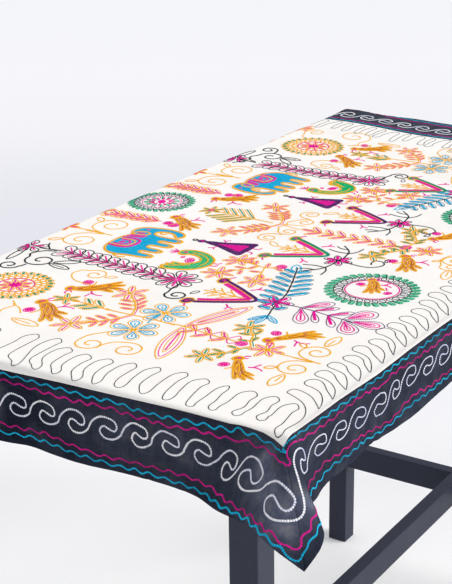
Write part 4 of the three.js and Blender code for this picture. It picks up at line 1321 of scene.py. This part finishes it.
# -------------------------------------------------------------- the meander
# The dark line's loops nearest the corner: how far in each reaches, where
# along the side its round end is, then how far out and where it turns back.
LOOPS = [
    # reach, mid, back, turn
    (88, 430, -3, 393), (92, 395, -1, 362), (73, 365, 0, 333), (67, 331, -5, 299), (69, 300, 0, 272), (71, 267, 4, 241), (76, 234, 4, 206),
    (80, 198, 3, 173), (76, 165, 1, 140), (72, 132, 6, 112), (74, 98, 8, 81), (74, 68, 11, 51), (68, 38, -6, 17),
]


def meander():
    """One thin dark line that runs out and back round the whole panel."""
    rng = np.random.default_rng(7)

    def loop(reach, mid, back, turn):
        """One loop: straight in, round, a little waisted on the way out, and a slant down to where it turns back."""
        half = 8.5 + rng.normal(0, 0.8)
        pts = [(reach - 40, mid + half), (reach - 13, mid + half + 1), (reach, mid), (reach - 8, mid - half - 1), (reach - 24, mid - half - 0.5),
               (back + 23, mid - half - 3.5), (back + 7, turn + 8), (back - 1, turn + 1), (back + 3, turn - 4), (back + 13, turn - 4)]
        return [(x + a, y + b) for (x, y), (a, b) in zip(pts, rng.normal(0, 0.7, (10, 2)))]

    def finger(pts, a=0.45, tip=2.4):
        """A little unlike its neighbours in length, lean and line."""
        pts = np.array(pts, float)
        deep = np.abs(pts - pts[0]).max(axis=1)[:, None] / 60
        return pts + rng.normal(0, a, pts.shape) + deep * rng.normal(0, tip, 2)

    near_finger = [(-5, 0), (-5, 6), (2, 12), (15, 20), (33, 25), (54, 26.5), (70, 25.5), (80, 27), (87, 31.5), (88, 38), (83, 44), (72, 47), (52, 46), (31, 43), (14, 37), (2, 30)]
    side_finger = [(0, 8), (9, 10.5), (26, 19), (40, 30), (47, 43), (50, 54), (57, 60), (66, 58), (70, 49), (64, 38), (50, 27)]
    path = []
    for q0 in 443 + (752 - 443) / 9 * np.arange(9)[::-1]:
        path += list(finger([(x * (0.93 if x > 20 else 1) + 1, q0 + y * 34 / 31) for x, y in near_finger])[::-1])
    for reach, mid, back, turn in LOOPS:
        path += loop(reach, mid, back, turn)
    path += [(34, 11), (58, 19), (76, 34), (86, 52), (92, 63), (104, 58), (96, 34), (74, 12)]      # round the corner
    n = 37
    for p0 in 70 + (1236 - 70) / n * np.arange(n):
        path += list(finger([(p0 + x, y) for x, y in side_finger]))
    path += [(1272, 8), (1281, 16), (1270, 30)]
    n = 26
    far_finger = [(-8, 0), (-16, 5), (-38, 8), (-55, 7), (-64, 9), (-67, 14), (-62, 18), (-40, 20), (-16, 19), (-8, 23)]
    for q0 in 34 + (752 - 34) / n * np.arange(n):
        path += list(finger([(SEAM["far"] + x, q0 + y) for x, y in far_finger], 0.8, 5.0))
    n = 37
    for p0 in 1232 - (1232 - 60) / n * np.arange(n):
        path += list(finger([(p0 - x * 0.8, SEAM["left"] - y * 0.95) for x, y in side_finger]))
    sew("grey", path, 1.9, pitch=2.4)


meander()


# -------------------------------------------------------------- the border lines
SIDES = {  # outward, travel, the corner where it starts
    "near": ((-1, 0), (0, -1)), "right": ((0, -1), (1, 0)), "far": ((1, 0), (0, 1)), "left": ((0, 1), (-1, 0)),
}
ORDER = ["near", "right", "far", "left"]


def corner_of(side):
    """The seam corner where a side ends, and the next side."""
    nxt = ORDER[(ORDER.index(side) + 1) % 4]
    p = SEAM[side] if side in ("near", "far") else SEAM[nxt]
    q = SEAM[side] if side in ("right", "left") else SEAM[nxt]
    return np.array([p, q], float), nxt


def place(side, K, a, b):
    o, t = np.array(SIDES[side][0], float), np.array(SIDES[side][1], float)
    return K + np.outer(a, o) + np.outer(b, t)


def length_of(side):
    return (SEAM["left"] - SEAM["right"]) if side in ("near", "far") else (SEAM["far"] - SEAM["near"])


UNIT = np.array([(0, .47), (.11, .23), (.31, .0), (.55, 0), (.75, .12), (.82, .36), (.78, .54), (.67, .55), (.53, .46), (.42, .40), (.33, .50),
                 (.29, .67), (.34, .84), (.47, .97), (.71, .95), (.91, .74)])
# Round a corner the same unit is worked larger. Each row is one of them: its
# middle (a out from the first side's seam, b past the next side's), width,
# height, turn in degrees, lean, and how many of its first points are left out.
ROUND = [
    # a, b, wide, tall, turn, lean, less
    (49, -80.5, 30.5, 35, 10, -2.5, 0),
    (47.5, -40.5, 56, 35, 17, -14, 1),
    (57, 24, 66, 36, -1, -8, 0),
    (-17, 38.5, 30.5, 32, -90, 6, 3),
]
SWEEP = [(56.5, 57), (47, 57.5), (37, 51), (27, 40), (14, 25.5), (6, 20.5), (-2, 19.5), (-9, 21)]      # the long line before the last of them


def corner_scroll(rng):
    out = []
    for a, b, wide, tall, turn, lean, less in ROUND:
        if less == 3:
            out += SWEEP
        t = math.radians(turn)
        u = UNIT[less:] - 0.5 + rng.normal(0, 0.004, UNIT[less:].shape)
        along, up = u[:, 0] * wide + u[:, 1] * lean, u[:, 1] * tall
        out += list(np.stack([a + along * math.sin(t) + up * math.cos(t), b + along * math.cos(t) - up * math.sin(t)], 1))
    return np.array(out, float)


FIRST = 38.0      # along the next side, where its plain units start
LAST = -98.0      # before its end, where they stop
PITCH = {"right": [49.5, 46.5, 52.5, 54, 31, 48, 50, 49]}
HIGH = {"right": [(26.5, 24.3), (27.8, 23.8), (28.2, 26.2), (28.4, 28.9), (26.4, 24.7), (23.8, 24.3), (28.8, 23.3), (30.4, 26.2)]}
TOP = {"near": (29.5, 28), "right": (29, 26), "far": (32, 31), "left": (29, 29)}


def finer(run, less, painted_drop_shade):
    """Along the short drop the lines are worked finer. Painted light and shade in the thread's tone: off the short drop
    its stitches lean to the lit colour, on it to the shaded one.
    """
    t = smooth((SEAM["right"] - run[:, 1] + 1) / 8) * smooth((run[:, 0] + 12) / 24)
    run[:, 4] *= 1 - less * t
    # Painted light off the drop, painted shade on it, in the stitches' tint.
    run[:, 7] = np.clip(run[:, 7] + 0.25 - painted_drop_shade * t, 0, 1)


def running_scroll():
    rng = np.random.default_rng(12)
    path = []
    for side in ORDER:
        K, nxt = corner_of(side)
        K0 = place(side, K, [0.0], [-length_of(side)])[0]
        room = length_of(side) + LAST - FIRST
        pitches = list(PITCH.get(side, []))
        rest = room - sum(pitches)
        n = int(round(rest / 46.5))
        pitches += list(rest / n * (1 + rng.normal(0, 0.03, n) - 0.0))
        scale = rest / (sum(pitches) - sum(PITCH.get(side, [])))
        x = FIRST
        top, tall = TOP[side]
        for i, w in enumerate(pitches):
            if i >= len(PITCH.get(side, [])):
                w *= scale
            own = HIGH.get(side, [])
            base, deep = own[i] if i < len(own) else (top, tall)
            h = deep * (1 + rng.normal(0, 0.03))
            y = base + (deep - h) / 2
            u = UNIT + rng.normal(0, 0.008, UNIT.shape)
            path.append(place(side, K0, y + u[:, 1] * h, x + u[:, 0] * w))
            x += w
        bend = corner_scroll(rng)
        path.append(place(side, K, bend[:, 0], bend[:, 1]))
    sew("white", np.concatenate(path), 3.25, pitch=2.9, closed=True, full=1.15)
    finer(STITCHES["white"][-1], 0.35, 0.6)


running_scroll()

# Waved lines: colour, distance from the seam on each side in order, and the
# way round the corner as (a, b) places.
RAILS = [
    ("sea", (6.5, 6.5, 7.5, 6.5), [(7, -58), (7, -46), (9, -34), (7, -25), (6, -16), (5, -5), (6, 4), (6.5, 9), (4.8, 7), (2.5, 1.5), (-1, 0.5), (-5, 2.5), (-10, 5), (-15, 5.5)]),
    ("wine", (16, 16, 17, 16), [(15, -55), (18, -40), (15, -20), (17, -4), (19, 8), (20, 15), (17, 19), (13, 17), (9, 13), (5, 9), (-2, 8), (-7, 10), (-12, 13)]),
    ("wine", (72, 73.5, 82, 72), [(80, -230), (79.5, -180), (79, -140), (80.5, -102), (82, -70), (84.5, -35), (87, -5), (87, 25), (86.2, 48), (86.8, 62), (85.6, 69.6), (81.5, 73.2), (75, 72.6), (67, 70.2), (55, 71), (44, 70.4), (28, 72), (6, 74)]),
    ("sea", (82.5, 84, 92, 82), [(89, -230), (89.6, -180), (90, -140), (90.3, -100), (90.6, -70), (91.3, -35), (92.6, 0), (93.2, 30), (92.6, 46), (92.4, 58), (93.6, 68), (94.6, 76), (93.2, 80.5), (89, 81.8), (81, 79.6), (72, 79.4), (60, 79.2), (48, 80.8), (30, 83), (6, 84.5)]),
]
# How these wander along the two sides in front: the place along, then the
# distance of each row from the seam there.
WANDER = {
    (0, "near"): ([65, 78, 100, 128, 150, 180, 215, 240, 270, 300, 340, 380, 410, 480], [5.5, 7.5, 8.9, 10, 11, 12, 11.2, 7.7, 9.7, 8.2, 7.3, 6, 4.7, 6.5]),
    (1, "near"): ([65, 100, 128, 150, 173, 215, 250, 300, 340, 380, 410, 480], [16.8, 18, 17, 20, 20.8, 19.7, 16.2, 18, 17, 15.5, 13.3, 16]),
    (2, "near"): ([215, 245, 260, 285, 314, 345, 380, 410, 480], [81, 80.5, 80, 77, 75, 71.5, 74.5, 73.5, 72]),
    (3, "near"): ([215, 245, 260, 290, 314, 341, 380, 413, 480], [89.8, 89.5, 87.5, 86, 85, 83, 84, 84.5, 82.5]),
    (0, "right"): ([5, 17, 47, 77, 107, 122, 155, 182, 203, 227, 257, 287, 317, 347, 377, 460], [5.5, 5.2, 7.1, 8.1, 8.1, 9.3, 5.6, 4.8, 6, 4.8, 5.8, 8, 8.6, 8, 7.4, 6.5]),
    (1, "right"): ([-5, 17, 47, 77, 107, 137, 161, 197, 209, 227, 257, 287, 317, 347, 377, 460], [13, 14.6, 16.1, 17.1, 16.5, 14.6, 14.1, 17, 19.2, 14.4, 14.9, 18.5, 17.6, 20, 19.4, 16]),
    (2, "right"): ([2, 17, 47, 65, 89, 116, 146, 167, 179, 209, 236, 257, 275, 305, 317, 347, 377, 407, 460],
                   [74, 68, 67.7, 64.5, 67.5, 67.2, 65.8, 69.3, 70.9, 74.1, 76, 70.4, 66.2, 65, 68, 72.5, 71.6, 72.7, 73.5]),
    (3, "right"): ([5, 17, 47, 80, 119, 150, 185, 209, 236, 257, 285, 310, 335, 377, 407, 460], [84, 79, 80.5, 76, 78, 77.1, 81, 83.1, 81, 77.9, 75, 76, 79, 78.5, 80.3, 84]),
}


def rails():
    rng = np.random.default_rng(31)
    for row, (colour, dist, turn) in enumerate(RAILS):
        for i, side in enumerate(ORDER):
            K, nxt = corner_of(side)
            run = length_of(side)
            d0 = dist[i]
            t = np.array(turn, float)
            lo, hi = dist[i], dist[(i + 1) % 4]
            a = t[:, 0] + (lo - dist[0]) * np.clip(-t[:, 1] / 60 + 0.0, 0, 1)
            b = t[:, 1] + (hi - dist[1]) * np.clip(-t[:, 0] / 10 + 1, 0, 1) * (t[:, 0] < 20)
            start = max(0.0, -t[-1, 0]) + 2.5
            stop = run + t[0, 1] - 8
            n = int((stop - start) / 9)
            s = np.linspace(start, stop, n)
            out = np.full(n, float(d0))
            if (row, side) in WANDER:
                out = np.interp(SEAM["left"] - s if side == "near" else s + SEAM["near"], *WANDER[row, side])
            own = place(side, K, out, s - run)
            bend = place(side, K, a, b)
            base = spline(np.concatenate([own, bend]), step=1.0)
            seg = np.linalg.norm(np.diff(base, axis=0), axis=1)
            cum = np.concatenate([[0], np.cumsum(seg)])
            keep = np.concatenate([[0], np.where(seg > 1e-6)[0] + 1])
            base, cum = base[keep], cum[keep]
            tan = np.gradient(base, axis=0)
            tan /= np.linalg.norm(tan, axis=1, keepdims=True) + 1e-9
            nor = np.stack([-tan[:, 1], tan[:, 0]], 1)
            waves = round(cum[-1] / 23.0)
            jit = np.interp(cum, np.linspace(0, cum[-1], int(waves) + 1), rng.normal(0, 0.45, int(waves) + 1))
            amp = np.interp(cum, np.linspace(0, cum[-1], int(waves) + 1), rng.normal(1.8, 0.24, int(waves) + 1))
            if row < 2:      # no wave where it turns back on itself at the corner
                amp *= smooth((np.linalg.norm(base - K, axis=1) - 10) / 14)
            else:
                tip = place(side, K, [89.0], [77.0])[0]
                amp *= 1 - 0.85 * np.exp(-(np.linalg.norm(base - tip, axis=1) / 15) ** 2)
            ph = cum / cum[-1] * waves * 2 * np.pi + jit + row * 1.3 * (row < 2)
            wave = amp * (np.sin(ph) + 0.1 * np.sin(2 * ph)) * smooth(cum / 7) * smooth((cum[-1] - cum) / 7)
            sew(colour, base + nor * wave[:, None], 2.7, pitch=2.7, curve=False, full=1.15)
            finer(STITCHES[colour][-1], 0.04, 0.32)
            if row == 3:     # bolder where the near side swings round to the corner
                run = STITCHES[colour][-1]
                run[:, 4] *= 1 + 0.15 * smooth((120 - run[:, 1]) / 40) * smooth((run[:, 1] + 80) / 30) * (run[:, 0] < -80)


rails()


# -------------------------------------------------------------- stitches to meshes
THREAD = {  # thread, in light and in shade
    "cyan": ("#00c0ee", "#00aadc"), "sea": ("#0ec6f2", "#068eb4"), "magenta": ("#ff18ae", "#ec0a98"), "wine": ("#e8169a", "#a00a6a"),
    "white": ("#ffffff", "#cdd1ec"), "orange": ("#ffc434", "#ffb41e"), "rust": ("#ee921e", "#cc7414"), "umber": ("#a0500f", "#84400a"),
    "pink": ("#fb46b4", "#ea3498"), "green": ("#06ca80", "#04b468"), "teal": ("#14a880", "#0e8a66"), "mint": ("#5cd0a4", "#38b084"),
    "purple": ("#6a2a7a", "#4e1e60"), "sky": ("#24c2ee", "#0ea2d0"), "black": ("#23252e", "#15171e"), "grey": ("#2e2e36", "#1e1e26"),
}
GRAIN = np.array([  # along, across, up: an open chain link seen as a rounded grain
    (-.5, 0, -.25), (.5, 0, .12), (-.2, .5, -.25), (.26, .46, -.25), (-.2, -.5, -.25), (.26, -.46, -.25), (-.22, 0, .9), (.24, 0, 1.0)])
GRAIN_FACES = np.array([(0, 6, 2), (0, 4, 6), (2, 6, 7), (2, 7, 3), (4, 5, 7), (4, 7, 6), (3, 7, 1), (5, 1, 7)])
counts = {}
for colour, runs in STITCHES.items():
    s = np.concatenate(runs)
    keep = (s[:, 0] > HEM["near"] + 1) & (s[:, 0] < HEM["far"] - 1) & (s[:, 1] > HEM["right"] + 1) & (s[:, 1] < HEM["left"] - 1)
    s = s[keep]
    n = len(s)
    counts[colour] = n
    ca, sa = np.cos(s[:, 2])[:, None], np.sin(s[:, 2])[:, None]
    al, ac = GRAIN[:, 0][None] * s[:, 3:4], GRAIN[:, 1][None] * s[:, 4:5]
    p = s[:, 0:1] + al * ca - ac * sa
    q = s[:, 1:2] + al * sa + ac * ca
    edge = np.minimum(np.minimum(s[:, 0] - HEM["near"], HEM["far"] - s[:, 0]), np.minimum(s[:, 1] - HEM["right"], HEM["left"] - s[:, 1]))
    h = THICK / 2 + hem_fold(edge)[:, None] / 2 + s[:, 6:7] + GRAIN[:, 2][None] * s[:, 5:6]
    verts = surface(p, q, h).reshape(-1, 3)
    faces = (GRAIN_FACES[None] + (np.arange(n) * 8)[:, None, None]).reshape(-1, 3)
    st = np.stack([np.tile(GRAIN[:, 0], n), np.tile(GRAIN[:, 1], n) * 2, np.repeat(s[:, 7], 8)], -1)
    side = int(math.ceil(math.sqrt(n)))
    cell = np.arange(n)
    cu, cv = (cell % side)[:, None], (cell // side)[:, None]
    uv = np.stack([(cu + 0.5 + GRAIN[:, 0][None] * 0.9) / side, (cv + 0.5 + GRAIN[:, 1][None] * 0.9) / side], -1).reshape(-1, 2)
    ob = mesh_object(f"thread_{colour}", verts, faces, [("st", "FLOAT_VECTOR", st)], uv=uv)
    lit, shade = THREAD[colour]
    ob.data.materials.append(thread_material(f"thread_{colour}", srgb(lit), srgb(shade), 0.4 if colour == "white" else 0.0, 0.8 if colour == "white" else 0.42))
    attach(ob, "root")
print("stitches", counts, "total", sum(counts.values()))


# ------------------------------------------------------------------ floor and light
def stage():
    k = Nodes("pale_floor")
    co = k.add("ShaderNodeTexCoord").outputs["Object"]
    sep = k.add("ShaderNodeSeparateXYZ")
    k.put(co, sep.inputs[0])
    # painted light and shade along the floor, from the near end on: lighter by the table to lift its shadow there,
    # darker in a band further off
    away = k.math("MULTIPLY_ADD", sep.outputs[1], 0.042, k.math("MULTIPLY_ADD", sep.outputs[0], 0.065, 0.12))
    col = k.ramp(away, [(0.0, srgb("#fcfcfc")), (0.158, srgb("#fdfdfd")), (0.166, srgb("#f9f9fa")), (0.176, srgb("#f1f1f2")), (0.188, srgb("#e9e9eb")),
                       (0.205, srgb("#ebebed")), (0.25, srgb("#e4e5e9")), (0.33, srgb("#d7d8df")), (0.38, srgb("#dcdde2")), (0.45, srgb("#e7e7ea")),
                       (0.55, srgb("#eaeaed")), (0.7, srgb("#e9eaec"))])
    k.put(col, k.bsdf.inputs["Base Color"])
    k.put(k.math("MULTIPLY_ADD", k.noise(co, 3, 3), 0.1, 0.5), k.bsdf.inputs["Roughness"])
    k.bsdf.inputs["Specular IOR Level"].default_value = 0.2
    me = bpy.data.meshes.new("floor")
    s = 40.0
    me.from_pydata([(-s, -s, 0), (s, -s, 0), (s, s, 0), (-s, s, 0)], [], [(0, 1, 2, 3)])
    ob = bpy.data.objects.new("floor", me)
    ob.location.z = CAD_BOUNDS[0][2] - 0.0005
    bpy.context.collection.objects.link(ob)
    me.materials.append(k.mat)


def sun(name, towards, spread, strength, colour, shadow=True):
    li = bpy.data.lights.new(name, "SUN")
    li.angle = math.radians(spread)
    li.energy = strength
    li.color = colour
    li.use_shadow = shadow
    ob = bpy.data.objects.new(name, li)
    bpy.context.collection.objects.link(ob)
    ob.rotation_euler = Vector(towards).to_track_quat("Z", "Y").to_euler()


stage()
sun("key", (0.5, -1.0, 0.6), 44, 2.45, (1.0, 0.985, 0.97))
sun("top", (0.1, 0.0, 1.0), 80, 0.98, (1.0, 1.0, 1.0), shadow=False)
w = bpy.data.worlds.new("studio")
w.use_nodes = True
w.node_tree.nodes["Background"].inputs[0].default_value = (*srgb("#f4f5f9"), 1)
w.node_tree.nodes["Background"].inputs[1].default_value = 0.545
bpy.context.scene.world = w
bpy.context.scene.view_settings.view_transform = "Standard"
bpy.context.scene.view_settings.look = "None"
